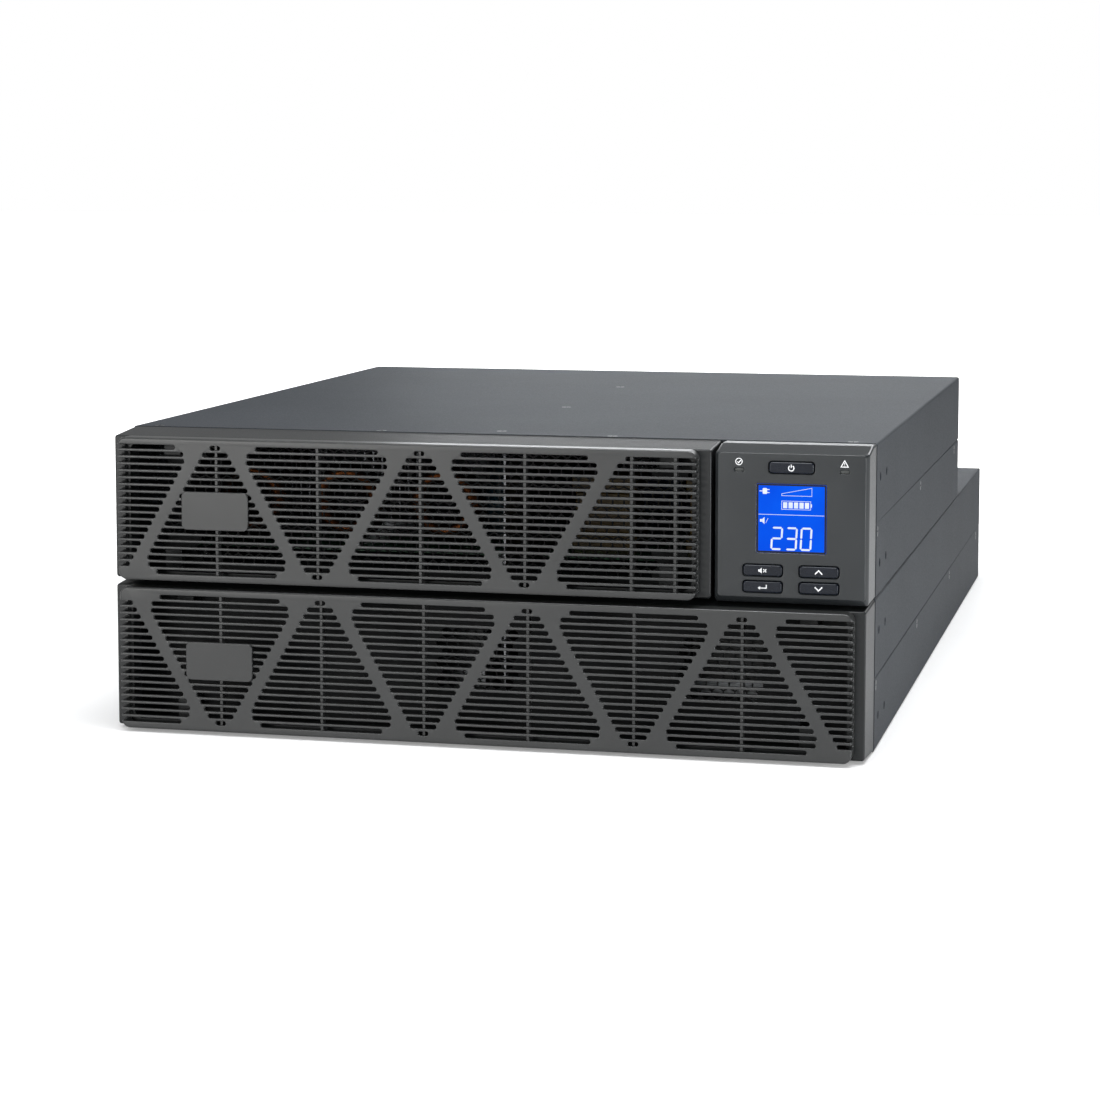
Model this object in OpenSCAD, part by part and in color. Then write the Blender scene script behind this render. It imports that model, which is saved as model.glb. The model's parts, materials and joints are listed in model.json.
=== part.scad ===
// Rack-mount uninterruptible power supply standing on its battery pack.
// Both are two-unit sheet-metal boxes with snap-on plastic bezels.
// X runs to the right seen from the front, Y to the rear, Z up, in millimetres.

/* [Chassis] */
// Width of both boxes
unit_w = 438; // [365:1:530]
// Height of one box
unit_h = 86.7; // [84:0.1:104]
// Depth of the power unit's box
ups_d = 485; // [404:1:582]
// Depth of the battery pack's box
pack_d = 675; // [600:1:810]
// Thickness of the sheet steel
sheet = 1.2; // [1:0.1:1.6]
// Height of the seam between tray and cover
seam_z = 42; // [36:0.5:46]
// How far the cover reaches past the rear panel
cover_overhang = 1.2; // [0.6:0.1:3]

/* [Rack ear holes] */
// First hole column behind the front edge
ear_y = 17; // [10:1:25]
// Distance between the two hole columns
ear_pitch_y = 29; // [20:1:35]
// Height of the lower hole row
ear_z = 18; // [12:0.5:24]
// Distance between the two hole rows
ear_pitch_z = 48.5; // [40:0.5:55]
// Radius of the ear holes
ear_hole_r = 2.5; // [2:0.1:3]

/* [Bezels] */
// How far the bezel frame stands out from the chassis
frame_reach = 32.7; // [27:0.1:40]
// How far the grille stands out from the frame
grille_step = 10.3; // [8:0.1:14]
// Thickness of the moulded walls
wall = 2.5; // [2:0.1:3.2]
// Radius of the grille's corners
grille_corner = 5; // [3:0.5:8]
// Width of the frame's border beside the grille
side_border = 6.5; // [5:0.5:9]
// Distance between neighbouring triangles of slots
tri_pitch = 60.45; // [54:0.05:72]
// Half width of a triangle's longest slots
tri_half = 41.8; // [38:0.1:44]
// Width of the plain band between two triangles
tri_band = 8; // [6:0.5:10]
// Distance between slot rows
row_pitch = 4; // [3.6:0.1:4.8]
// Height of a slot
slot_h = 2.5; // [2:0.1:3]
// Width of the badge plate
badge_w = 40; // [32:1:46]
// Height of the badge plate
badge_h = 22; // [16:1:26]

/* [Display] */
// Width of the display module
display_w = 84.7; // [78:0.1:102]
// Gap between the bezel frame and the display module
display_gap = 2; // [1:0.1:4]
// Width of the screen opening
screen_w = 38.4; // [32:0.1:46]
// Height of the screen opening
screen_h = 38; // [32:0.1:42]
// Width of the four lower buttons
key_w = 21.5; // [16:0.1:24]
// Height of every button
key_h = 6.1; // [5:0.1:6.6]
// Width of the power button
power_w = 24.6; // [18:0.1:30]
// Travel of the buttons
key_travel = 0.8; // [0.5:0.1:0.8]
// Gap around each button
key_gap = 0.25; // [0.15:0.05:0.4]

/* [Rear of the power unit] */
// Width of a cooling fan's frame
fan_w = 80; // [66:1:80]
// Thickness of a cooling fan's frame
fan_t = 25; // [20:1:30]
// Radius of the cable entries in the terminal cover
cable_r = 11; // [8:0.5:14]
// How far the terminal cover stands out
terminal_reach = 28; // [20:1:36]
// Length of the option card's board
card_len = 100; // [80:1:120]

/* [Battery pack] */
// Length of one battery block
cell_l = 151; // [140:1:155]
// Width of one battery block
cell_w = 94; // [80:1:96]
// Height of one battery block lying on its side
cell_h = 65; // [60:1:68]
// How far the pack's connectors stand out at the rear
plug_reach = 12; // [8:1:16]

/* [Hidden] */
$fn = 48;

// Clearances between pieces.
fit = 0.2;        // between nested sheets
slide = 0.3;      // between pieces that slide past each other
running = 0.05;   // radial, between a pin and its bore

// The frame's origin is under the middle of the whole assembly's box.
badge_t = 1.6;
grille_reach = frame_reach + grille_step;
front_y = -(pack_d + plug_reach - grille_reach - badge_t) / 2;
ups_z = unit_h;

half_w = unit_w / 2;
inner_half = half_w - 2 * sheet - 2 * fit; // panels stand inside the cover's lips
inner_top = unit_h - sheet;
lip_h = 10;
lip_x = half_w - sheet - fit - sheet;      // inner face of the cover's lip
flange_front = 24;
flange_rear = 12;

// Countersunk screws: M3 in sheet steel.
screw_r = 1.4;
screw_head_r = 3.1;
screw_len = 8;
screw_inset = 14;
top_screw_x = [for (i = [0:3]) -half_w + screw_inset + i * (unit_w - 2 * screw_inset) / 3];
top_screw_y = 5;
centre_screw_y = 18.5;
centre_pitch = ups_d / 3;
side_screw_z = seam_z - 5;
side_screw_y0 = 6;
side_screw_end = 30;

// Bezel outline: the moulding narrows towards the front.
seat = 0.3;         // gap to the chassis
taper_side = 0.8;
taper_top = 2.1;
taper_bottom = 1.4;
bezel_half = half_w - 0.3;
display_x1 = half_w - 0.3;
display_x0 = display_x1 - display_w;
display_cx = (display_x0 + display_x1) / 2;
ups_bezel_x1 = display_x0 - display_gap;
grille_z0 = 1.8;
grille_z1 = unit_h - 2.4;
ups_grille_x0 = -half_w + side_border;
ups_grille_x1 = ups_bezel_x1 - side_border;
pack_grille_x1 = half_w - side_border - 0.5;
pack_grille_x0 = -pack_grille_x1;
grille_rest = 4;    // overlap of grille and frame opening
rows = floor((grille_z1 - grille_z0 - 2 * grille_rest) / row_pitch) + 1;
row_z0 = (grille_z0 + grille_z1 - (rows - 1) * row_pitch) / 2;
tri_slope = (2 * (tri_half - 1.7) - tri_pitch + tri_band) / (rows - 7);
ups_rib_x = ups_grille_x0 + 59.7;
pack_rib_x = (0.5 - floor((pack_grille_x1 - 20) / tri_pitch + 0.5)) * tri_pitch;
rib_w = 1.6;
badge_z = (grille_z0 + grille_z1) / 2;
clip_w = 10;
clip_h = 3;
clip_len = 8;

// Display module.
face_y = -frame_reach;
face_in = face_y + wall;        // inner side of the front wall
key_proud = 1.2;
key_flange = 1;
board_y = face_in + 7;          // front of the display board
switch_h = 1.6;
key_pitch_x = 31;
key_row_z = [9.5, 18.6];
power_z = unit_h - 11.2;
led_z = unit_h - 12.9;
led_dx = 29;
led_w = 5.4;
led_h = 2.3;
screen_z = 47.4;
dock_in = 44;                   // side of the display's rear spigot
dock_wall = 3;
dock_depth = 18;
dock_z = unit_h / 2;

// Rear layout of the power unit, from the left seen from the front.
fan_x = [-half_w + 14 + fan_w / 2, -half_w + 14 + 1.5 * fan_w + 4];
fan_z = unit_h / 2;
fan_blade_r = fan_w / 2 - 3;
fan_hub_r = 16;
fan_bolt = 71.5 / 80 * fan_w / 2;
rear_mid_x = (fan_x[1] + fan_w / 2 + half_w) / 2; // middle of the room beside the fans
card_x = rear_mid_x - 85;
card_z = 62;
card_w = 60;
card_h = 20;
port_z = 22;
breaker_x = rear_mid_x - 28;
terminal_w = 94;
terminal_x = rear_mid_x + 70;
terminal_z0 = 10;
terminal_z1 = unit_h - 10;
socket_x = breaker_x;

// Breaker: a toggle on a cross pin.
breaker_w = 18;
breaker_h = 36;
breaker_depth = 40;
toggle_hub_r = 5;
toggle_pin_r = 1.5;
toggle_w = 8;
toggle_len = 13;
toggle_tilt = 25;
breaker_lift = 46;              // height of the pivots above the box's floor

// Circuit boards.
pcb_t = 1.6;
pcb_z = 8;
board_margin = 12;
board_y0 = 60;
board_y1 = ups_d - fan_t - 22;

// ---------------------------------------------------------------- shared shapes

module in_ups() translate([0, front_y, ups_z]) children();
module in_pack() translate([0, front_y, 0]) children();

// A block from its two corners.
module block(a, b) translate(a) cube(b - a);

// Extrudes an outline drawn in X and Z towards the front, from y back.
module plate_xz(y, thick) translate([0, y, 0]) rotate([90, 0, 0]) linear_extrude(thick) children();

// Extrudes an outline drawn in Y and Z along X.
module bar_yz(x0, x1) translate([x0, 0, 0]) rotate([90, 0, 90]) linear_extrude(x1 - x0) children();

// A round bar along Y that starts at y and runs back.
module rod_y(r, y, len) translate([0, y, 0]) rotate([-90, 0, 0]) cylinder(r = r, h = len);

// A round bar along X, centred on the pivot.
module rod_x(r, len) rotate([0, 90, 0]) cylinder(r = r, h = len, center = true);

// Corner points of a rounded rectangle between two corners.
function round_pts(x0, z0, x1, z1, r) = [
    for (c = [[x1 - r, z1 - r, 0], [x0 + r, z1 - r, 90], [x0 + r, z0 + r, 180], [x1 - r, z0 + r, 270]])
        for (a = [0:15:90]) [c[0] + r * cos(c[2] + a), c[1] + r * sin(c[2] + a)]];

// A slot with cut-off corners, as eight points.
function slot_pts(x0, x1, z, h) = let (e = h / 3) [
    [x0 + e, z - h / 2], [x1 - e, z - h / 2], [x1, z - h / 2 + e], [x1, z + h / 2 - e],
    [x1 - e, z + h / 2], [x0 + e, z + h / 2], [x0, z + h / 2 - e], [x0, z - h / 2 + e]];

function hex_pts(x, z, r) = [for (a = [30:60:330]) [x + r * cos(a), z + r * sin(a)]];

// Joins outlines into one polygon; inner ones become holes.
function run_start(list, i) = i == 0 ? 0 : run_start(list, i - 1) + len(list[i - 1]);
module outline_with_holes(outer, holes) {
    all = concat([outer], holes);
    polygon(points = [for (p = all) each p],
            paths = [for (i = 0, s = 0; i < len(all); s = s + len(all[i]), i = i + 1)
                     [for (j = [0:len(all[i]) - 1]) s + j]]);
}

// Centres of a staggered field of hexagonal holes.
function hex_field(x0, x1, z0, z1, pitch) = let (
    dz = pitch * sqrt(3) / 2, nz = floor((z1 - z0) / dz), nx = floor((x1 - x0) / pitch - 0.5)) [
    for (j = [0:nz]) for (i = [0:nx])
        [(x0 + x1 - (nx + 0.5) * pitch) / 2 + (i + (j % 2) / 2) * pitch,
         (z0 + z1 - nz * dz) / 2 + j * dz]];

// ---------------------------------------------------------------- sheet-metal box

function side_screw_count(d) = d > 580 ? 4 : 3;
function side_screw_y(d, i) =
    side_screw_y0 + i * (d - side_screw_end - side_screw_y0) / (side_screw_count(d) - 1);
function top_screws(d) = concat(
    [for (x = top_screw_x) [x, top_screw_y]],
    [for (i = [0:2]) [0, centre_screw_y + i * centre_pitch]]);

// Places its children at every side screw, the sheet's inner face at z = 0 and +Z outwards.
module at_side_screws(d) for (s = [0, 1]) mirror([s, 0, 0]) for (i = [0:side_screw_count(d) - 1])
    translate([half_w - sheet, side_screw_y(d, i), side_screw_z]) rotate([0, 90, 0]) children();

module ear_holes(z) for (sx = [-1, 1]) for (dy = [0, ear_pitch_y])
    translate([sx * half_w, ear_y + dy, z]) rod_x(ear_hole_r, 8);

module base_tray(d) difference() {
    union() {
        block([-half_w, 0, 0], [half_w, d, sheet]);
        for (x = [-half_w, half_w - sheet]) block([x, 0, 0], [x + sheet, d, seam_z]);
    }
    ear_holes(ear_z);
    at_side_screws(d) cylinder(r1 = screw_r + 0.2, r2 = screw_head_r + 0.1, h = sheet);
}

module top_cover(d) difference() {
    union() {
        block([-half_w, 0, inner_top], [half_w, d + cover_overhang, unit_h]);
        for (s = [0, 1]) mirror([s, 0, 0]) {
            block([half_w - sheet, 0, seam_z + fit], [half_w, d + cover_overhang, unit_h]);
            block([lip_x, 0, seam_z + fit], [half_w, d, seam_z + fit + sheet]);
            block([lip_x, 0, seam_z - lip_h], [lip_x + sheet, d, seam_z + fit + sheet]);
        }
    }
    ear_holes(ear_z + ear_pitch_z);
    at_side_screws(d) translate([0, 0, -5]) cylinder(r = screw_r + 0.1, h = 5);
    for (p = top_screws(d)) translate([p[0], p[1], inner_top])
        cylinder(r1 = screw_r + 0.2, r2 = screw_head_r + 0.1, h = sheet);
}

// One countersunk screw with a cross recess, its head's top at the origin, pointing down.
module countersunk_screw(len) difference() {
    union() {
        translate([0, 0, -sheet]) cylinder(r1 = screw_r, r2 = screw_head_r, h = sheet);
        translate([0, 0, -len]) cylinder(r = screw_r, h = len - sheet + 0.01);
    }
    for (a = [0, 90]) rotate([0, 0, a]) translate([-1.7, -0.35, -0.8]) cube([3.4, 0.7, 1]);
}

module cover_screws(d) {
    for (p = top_screws(d)) translate([p[0], p[1], unit_h]) countersunk_screw(screw_len);
    at_side_screws(d) translate([0, 0, sheet]) countersunk_screw(screw_len / 2);
}

// The flanges that a front or rear panel turns back under the cover and over the floor.
module panel_flanges(d, back) {
    y0 = back ? d - flange_rear : 0;
    y1 = back ? d : flange_front;
    difference() {
        block([-inner_half, y0, inner_top - sheet], [inner_half, y1, inner_top]);
        for (p = top_screws(d)) translate([p[0], p[1], 0]) cylinder(r = screw_r + 0.1, h = unit_h);
    }
    block([-inner_half, back ? d - flange_rear : 0, sheet],
          [inner_half, back ? d : flange_rear, 2 * sheet]);
}

// The lengthwise wall under the cover's centre screws, a Z section.
module divider(d, y0, y1) difference() {
    bottom_w = 12;
    top_w = 8;
    union() {
        block([-sheet / 2, y0, sheet], [sheet / 2, y1, inner_top]);
        block([-sheet / 2, y0, sheet], [bottom_w, y1, 2 * sheet]);
        block([-top_w, y0, inner_top - sheet], [top_w, y1, inner_top]);
    }
    for (p = top_screws(d)) translate([p[0], p[1], 0]) {
        translate([0, 0, inner_top - 9]) cylinder(r = screw_r + 0.1, h = 10);
    }
}

clip_inset = 14;
clip_at = [clip_inset, unit_h - clip_inset]; // heights of the snap tongues
function clip_x(x0, x1) = [for (f = [0.08, 0.92]) x0 + f * (x1 - x0)];

module clip_slots(x0, x1) for (x = clip_x(x0, x1)) for (z = clip_at)
    translate([x - clip_w / 2 - slide - 0.2, -1, z - clip_h / 2 - slide - 0.2])
        cube([clip_w + 2 * slide + 0.4, 12, clip_h + 2 * slide + 0.4]);

// ---------------------------------------------------------------- bezels

// A block that narrows to the front, from y = -seat to y = -reach.
module narrowing(x0, x1, z0, z1, reach, in) {
    intersection() {
        bar_yz(x0 - 1, x1 + 1) polygon([[-seat, z0], [-reach, z0 + taper_bottom],
                                        [-reach, z1 - taper_top], [-seat, z1]]);
        translate([0, 0, z0 - 1]) linear_extrude(z1 - z0 + 2)
            polygon([[x0, -seat], [x0 + taper_side, -reach], [x1 - in, -reach], [x1, -seat]]);
    }
}

module bezel_frame(x0, x1, gx0, gx1, in) {
    difference() {
        narrowing(x0, x1, seat, unit_h - seat, frame_reach, in);
        translate([0, 0.01, 0])
            narrowing(x0 + wall, x1 - wall, seat + wall, unit_h - seat - wall, frame_reach - wall, in);
        block([x0 + wall, -seat - 0.5, seat + wall], [x1 - wall, 0, unit_h - seat - wall]);
        plate_xz(0, frame_reach + 1)
            polygon(round_pts(gx0 + grille_rest, grille_z0 + grille_rest, gx1 - grille_rest,
                              grille_z1 - grille_rest, grille_corner));
    }
    // Snap tongues on posts that reach back through the front panel.
    for (x = clip_x(x0, x1)) for (z = clip_at) {
        s = z < unit_h / 2 ? -1 : 1;
        block([x - clip_w / 2, -12, min(z - s * clip_h / 2, s > 0 ? unit_h - seat - 1.5 : seat + 1.5)],
              [x + clip_w / 2, -6, max(z - s * clip_h / 2, s > 0 ? unit_h - seat - 1.5 : seat + 1.5)]);
        block([x - clip_w / 2, -12, z - clip_h / 2], [x + clip_w / 2, clip_len, z + clip_h / 2]);
    }
}

// Half width of the slot in row k, counted from the triangle's wide side.
function half_slot(k) = k == 1 ? tri_half - 5.5 : k == 2 ? tri_half - 0.5 : k == 3 ? tri_half
    : k >= rows ? 3 : tri_half - 1.7 - tri_slope * (k - 4);

function row_z(i) = row_z0 + (i - 1) * row_pitch;

// Slots of one triangle as [x0, x1, row]; up means that the apex points up.
function tri_slots(x, up) = [for (i = [1:rows]) let (h = half_slot(up ? i : rows + 1 - i))
    [x - h, x + h, i]];

// With an open end, the last triangle's slots run on to that end.
function all_slots(rib_x, first_up, x0, x1, open_end) = let (last = floor((x1 - rib_x) / tri_pitch)) [
    for (n = [-1:open_end ? last : last + 1])
        for (s = tri_slots(rib_x + n * tri_pitch, (n % 2 == 0) == first_up))
            [s[0], open_end && n == last ? x1 : s[1], s[2]]];

// A grille of slots in triangles that point up and down by turns, with a rib behind each triangle's
// middle. Slots that come nearer than edge to an end wrap round it. An open end has one more rib.
module grille(x0, x1, rib_x, first_up, open_end) {
    edge = 6;
    slots = all_slots(rib_x, first_up, x0, x1, open_end);
    inner = [for (s = slots) if (s[0] > x0 + edge && s[1] < x1 - edge) s];
    left = [for (s = slots) if (s[0] <= x0 + edge && s[1] > x0 + edge) s];
    right = [for (s = slots) if (s[1] >= x1 - edge && s[0] < x1 - edge) s];
    depth = grille_reach - frame_reach;
    outer = round_pts(x0, grille_z0, x1, grille_z1, grille_corner);
    difference() {
        union() {
            plate_xz(-grille_reach + wall, wall)
                outline_with_holes(outer, [for (s = inner) slot_pts(s[0], s[1], row_z(s[2]), slot_h)]);
            plate_xz(-frame_reach, depth - wall)
                outline_with_holes(outer, [round_pts(x0 + wall, grille_z0 + wall, x1 - wall,
                                                     grille_z1 - wall, grille_corner - wall)]);
        }
        for (s = left) block([x0 - 1, -grille_reach - 1, row_z(s[2]) - slot_h / 2],
                             [s[1], -frame_reach - 3, row_z(s[2]) + slot_h / 2]);
        for (s = right) block([s[0], -grille_reach - 1, row_z(s[2]) - slot_h / 2],
                              [x1 + 1, -frame_reach - 3, row_z(s[2]) + slot_h / 2]);
    }
    ribs = [for (n = [0:floor((x1 - edge - rib_x) / tri_pitch)]) rib_x + n * tri_pitch];
    for (x = concat(ribs, open_end ? [x1 - 2 * edge] : []))
        block([x - rib_w / 2, -grille_reach + wall, row_z(1) - 3],
              [x + rib_w / 2, -frame_reach - 3, row_z(rows) + 3]);
}

// A plain rounded plate on the grille's face.
module badge_plate(x) plate_xz(-grille_reach, badge_t)
    polygon(round_pts(x - badge_w / 2, badge_z - badge_h / 2, x + badge_w / 2, badge_z + badge_h / 2, 3));

// ---------------------------------------------------------------- battery pack

steel = [0.33, 0.34, 0.36];
plastic = [0.3, 0.31, 0.31];
dark = [0.15, 0.15, 0.16];
board_green = [0.1, 0.35, 0.2];
metal = [0.7, 0.71, 0.73];

module pack_base_tray() color(steel) in_pack() base_tray(pack_d);
module pack_top_cover() color(steel) in_pack() top_cover(pack_d);
module pack_divider() color(metal) in_pack() divider(pack_d, flange_front + 1, pack_d - 60);
module pack_cover_screws() color(dark) in_pack() cover_screws(pack_d);

vent_w = 40;
vent_h = 26;
pack_vent_x = [-10, 132];
hex_pitch = 9;
hex_r = 4.3;

module pack_front_panel() color(dark) in_pack() {
    difference() {
        plate_xz(sheet, sheet) outline_with_holes(
            [[-inner_half, sheet], [inner_half, sheet], [inner_half, inner_top], [-inner_half, inner_top]],
            [for (v = pack_vent_x) for (c = hex_field(v - vent_w / 2, v + vent_w / 2,
                unit_h / 2 - vent_h / 2, unit_h / 2 + vent_h / 2, hex_pitch)) hex_pts(c[0], c[1], hex_r)]);
        clip_slots(-bezel_half, bezel_half);
    }
    panel_flanges(pack_d, false);
}

plug_x = [-130, -50];
plug_w = 56;
plug_h = 28;
plug_body = 30;
plug_z = unit_h / 2;
plug_hole_w = 20;
plug_hole_h = 15;
pack_breaker_x = 70;

module pack_rear_panel() color(steel) in_pack() {
    difference() {
        plate_xz(pack_d, sheet) outline_with_holes(
            [[-inner_half, sheet], [inner_half, sheet], [inner_half, inner_top], [-inner_half, inner_top]],
            [for (x = plug_x) round_pts(x - plug_w / 2 - fit, plug_z - plug_h / 2 - fit,
                                        x + plug_w / 2 + fit, plug_z + plug_h / 2 + fit, 2)]);
        breaker_opening(pack_breaker_x, pack_d);
    }
    panel_flanges(pack_d, true);
}

// A two-pole battery connector: a shell with two deep sockets, each with a contact blade.
module power_plug(x, z, d, reach) translate([x, d, z]) {
    difference() {
        plate_xz(reach, reach + plug_body)
            polygon(round_pts(-plug_w / 2, -plug_h / 2, plug_w / 2, plug_h / 2, 2));
        for (sx = [-1, 1]) translate([sx * plug_w / 4 - plug_hole_w / 2, reach - 20, -plug_hole_h / 2])
            cube([plug_hole_w, 21, plug_hole_h]);
    }
    // Flange behind the panel.
    plate_xz(-sheet, 2) outline_with_holes(
        round_pts(-plug_w / 2 - 4, -plug_h / 2 - 3, plug_w / 2 + 4, plug_h / 2 + 3, 3),
        [round_pts(-plug_w / 2 + 1, -plug_h / 2 + 1, plug_w / 2 - 1, plug_h / 2 - 1, 1)]);
}

module pack_connectors() color(dark) in_pack() for (x = plug_x) power_plug(x, plug_z, pack_d, plug_reach);

// Room in a rear panel for a breaker's face.
module breaker_opening(x, d)
    block([x - breaker_w / 2 - fit, d - 2 * sheet, breaker_lift - breaker_h / 2 - fit],
          [x + breaker_w / 2 + fit, d + 1, breaker_lift + breaker_h / 2 + fit]);

// A breaker's body: its face stands 2 mm out, and its toggle turns in a round pocket.
module breaker_body(x, d) translate([x, d, breaker_lift]) {
    pivot_y = -toggle_hub_r + 1;
    difference() {
        union() {
            block([-breaker_w / 2, -breaker_depth, -breaker_h / 2], [breaker_w / 2, 2, breaker_h / 2]);
            block([-breaker_w / 2 - 3, -sheet - 2, -breaker_h / 2 - 3],
                  [breaker_w / 2 + 3, -sheet, breaker_h / 2 + 3]);
        }
        translate([0, pivot_y, 0]) {
            rod_x(toggle_hub_r + 0.6, toggle_w + 2 * slide);
            rod_x(toggle_pin_r + running, breaker_w - 4);
            for (a = [-toggle_tilt, toggle_tilt]) rotate([a, 0, 0])
                block([-toggle_w / 2 - slide, 0, -2.6], [toggle_w / 2 + slide, toggle_len, 2.6]);
            block([-toggle_w / 2 - slide, 3, -6], [toggle_w / 2 + slide, toggle_len, 6]);
        }
    }
}

module breaker_toggle(x, d) translate([x, d - toggle_hub_r + 1, breaker_lift]) {
    rod_x(toggle_hub_r, toggle_w);
    rod_x(toggle_pin_r, breaker_w - 5);
    rotate([toggle_tilt, 0, 0]) block([-toggle_w / 2, 0, -2], [toggle_w / 2, toggle_len, 2]);
}

module pack_breaker_body() color(dark) in_pack() breaker_body(pack_breaker_x, pack_d);
module pack_breaker_toggle() color([0.1, 0.1, 0.1]) in_pack() breaker_toggle(pack_breaker_x, pack_d);

// Battery trays: three rows of two blocks lying on their sides.
cells_across = 2;
cells_deep = 3;
cell_gap = 1;
tray_y0 = flange_front + 6;
tray_w = cells_across * (cell_w + cell_gap) + cell_gap;
tray_l = cells_deep * (cell_l + cell_gap) + cell_gap;
tray_wall_h = 30;
tray_x = 14 + tray_w / 2;
tray_z = sheet + 0.3;

module battery_tray() difference() {
    block([-tray_w / 2 - sheet, 0, tray_z], [tray_w / 2 + sheet, tray_l + 2 * sheet, tray_z + tray_wall_h]);
    block([-tray_w / 2, sheet, tray_z + sheet], [tray_w / 2, tray_l + sheet, unit_h]);
    // Finger slot in the front wall.
    block([-30, -1, tray_z + 10], [30, sheet + 1, tray_z + 22]);
}

module battery_blocks() for (i = [0:cells_across - 1]) for (j = [0:cells_deep - 1])
    translate([-tray_w / 2 + cell_gap + i * (cell_w + cell_gap), sheet + cell_gap + j * (cell_l + cell_gap),
               tray_z + sheet]) {
        cube([cell_w, cell_l, cell_h]);
        for (k = [0.2, 0.8]) translate([k * cell_w, 12, cell_h]) cylinder(r = 4, h = 2);
    }

module battery_tray_left() color(metal) in_pack() translate([-tray_x, tray_y0, 0]) battery_tray();
module battery_tray_right() color(metal) in_pack() translate([tray_x, tray_y0, 0]) battery_tray();
module battery_blocks_left() color(dark) in_pack() translate([-tray_x, tray_y0, 0]) battery_blocks();
module battery_blocks_right() color(dark) in_pack() translate([tray_x, tray_y0, 0]) battery_blocks();

// Straps that join the batteries' terminals row by row.
module battery_links() color([0.75, 0.4, 0.2]) in_pack() for (sx = [-1, 1]) for (j = [0:cells_deep - 1])
    translate([sx * tray_x, tray_y0 + sheet + cell_gap + j * (cell_l + cell_gap) + 12,
               tray_z + sheet + cell_h + 2]) {
        x0 = -tray_w / 2 + cell_gap;
        block([x0 + 0.8 * cell_w - 5, -5, 0], [x0 + cell_w + cell_gap + 0.2 * cell_w + 5, 5, sheet]);
        for (x = [x0 + 0.2 * cell_w, x0 + cell_w + cell_gap + 0.8 * cell_w])
            block([x - 5, -5, 0], [x + 5, 5, sheet]);
    }

module fuse_board() color(board_green) in_pack() {
    y = pack_d - 60;
    block([-160, y, sheet], [-10, y + pcb_t, 60]);
    for (x = [-140, -100, -60, -20]) translate([x, y + pcb_t, 30]) {
        rod_y(6, -0.01, 12);
    }
}

module pack_bezel_frame() color(plastic) in_pack()
    bezel_frame(-bezel_half, bezel_half, pack_grille_x0, pack_grille_x1, taper_side);
module pack_grille() color(plastic) in_pack()
    grille(pack_grille_x0, pack_grille_x1, pack_rib_x, false, false);
module pack_badge_plate() color(plastic) in_pack() badge_plate(pack_rib_x);

// ---------------------------------------------------------------- power unit: box and bezel

module ups_base_tray() color(steel) in_ups() base_tray(ups_d);
module ups_top_cover() color(steel) in_ups() top_cover(ups_d);
module ups_divider() color(metal) in_ups() divider(ups_d, flange_front + 1, ups_d - card_len - 10);
module ups_cover_screws() color(dark) in_ups() cover_screws(ups_d);
module ups_bezel_frame() color(plastic) in_ups()
    bezel_frame(-bezel_half, ups_bezel_x1, ups_grille_x0, ups_grille_x1, 0);
module ups_grille() color(plastic) in_ups()
    grille(ups_grille_x0, ups_grille_x1, ups_rib_x, true, true);
module ups_badge_plate() color(plastic) in_ups() badge_plate(ups_rib_x);

module ups_front_panel() color(dark) in_ups() {
    vent_z0 = 10;
    difference() {
        plate_xz(sheet, sheet) outline_with_holes(
            [[-inner_half, sheet], [inner_half, sheet], [inner_half, inner_top], [-inner_half, inner_top]],
            [for (c = hex_field(-bezel_half + 42, ups_bezel_x1 - 42, vent_z0, unit_h - vent_z0, hex_pitch))
                hex_pts(c[0], c[1], hex_r)]);
        clip_slots(-bezel_half, ups_bezel_x1);
        block([display_cx - dock_in / 2 - slide, -1, dock_z - dock_in / 2 - slide],
              [display_cx + dock_in / 2 + slide, 5, dock_z + dock_in / 2 + slide]);
    }
    panel_flanges(ups_d, false);
}

module ups_rear_panel() color(steel) in_ups() {
    difference() {
        block([-inner_half, ups_d - sheet, sheet], [inner_half, ups_d, inner_top]);
        for (x = fan_x) translate([x, ups_d, fan_z]) {
            rod_y(fan_blade_r + 0.5, -5, 10);
            for (sx = [-1, 1]) for (sz = [-1, 1]) translate([sx * fan_bolt, 0, sz * fan_bolt])
                rod_y(fan_screw_r + 0.3, -5, 10);
        }
        breaker_opening(breaker_x, ups_d);
        block([card_x - card_w / 2, ups_d - 5, card_z - card_h / 2],
              [card_x + card_w / 2, ups_d + 1, card_z + card_h / 2]);
        for (p = ports) box_y(p[0], port_z, p[1] + 2 * fit, p[2] + 2 * fit, ups_d - 5, ups_d + 1);
        box_y(socket_x, socket_z, socket_w + 2 * fit, socket_h + 2 * fit, ups_d - 5, ups_d + 1);
        block([terminal_x - block_w / 2 - fit, ups_d - 5, block_z - block_h / 2 - fit],
              [terminal_x + block_w / 2 + fit, ups_d + 1, block_z + block_h / 2 + fit]);
    }
    panel_flanges(ups_d, true);
}

// ---------------------------------------------------------------- display module

// The housing's outer form: the top slopes down to the face, and the face has bevelled edges.
module display_form(in) {
    bevel = 3;
    slope_y = -13;
    x0 = display_x0 + in;
    x1 = display_x1 - in;
    z0 = seat + in;
    z1 = unit_h - seat - in;
    f = face_y + in;
    intersection() {
        bar_yz(x0 - 1, x1 + 1) polygon([[-seat, z0], [f + bevel, z0], [f, z0 + bevel], [f, z1 - 3.2],
                                        [slope_y, z1], [-seat, z1]]);
        linear_extrude(unit_h) polygon([[x0, -seat], [x0, f + bevel / 2], [x0 + bevel / 2, f],
                                        [x1 - bevel / 2, f], [x1, f + bevel / 2 + 2], [x1, -seat]]);
    }
}

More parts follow.
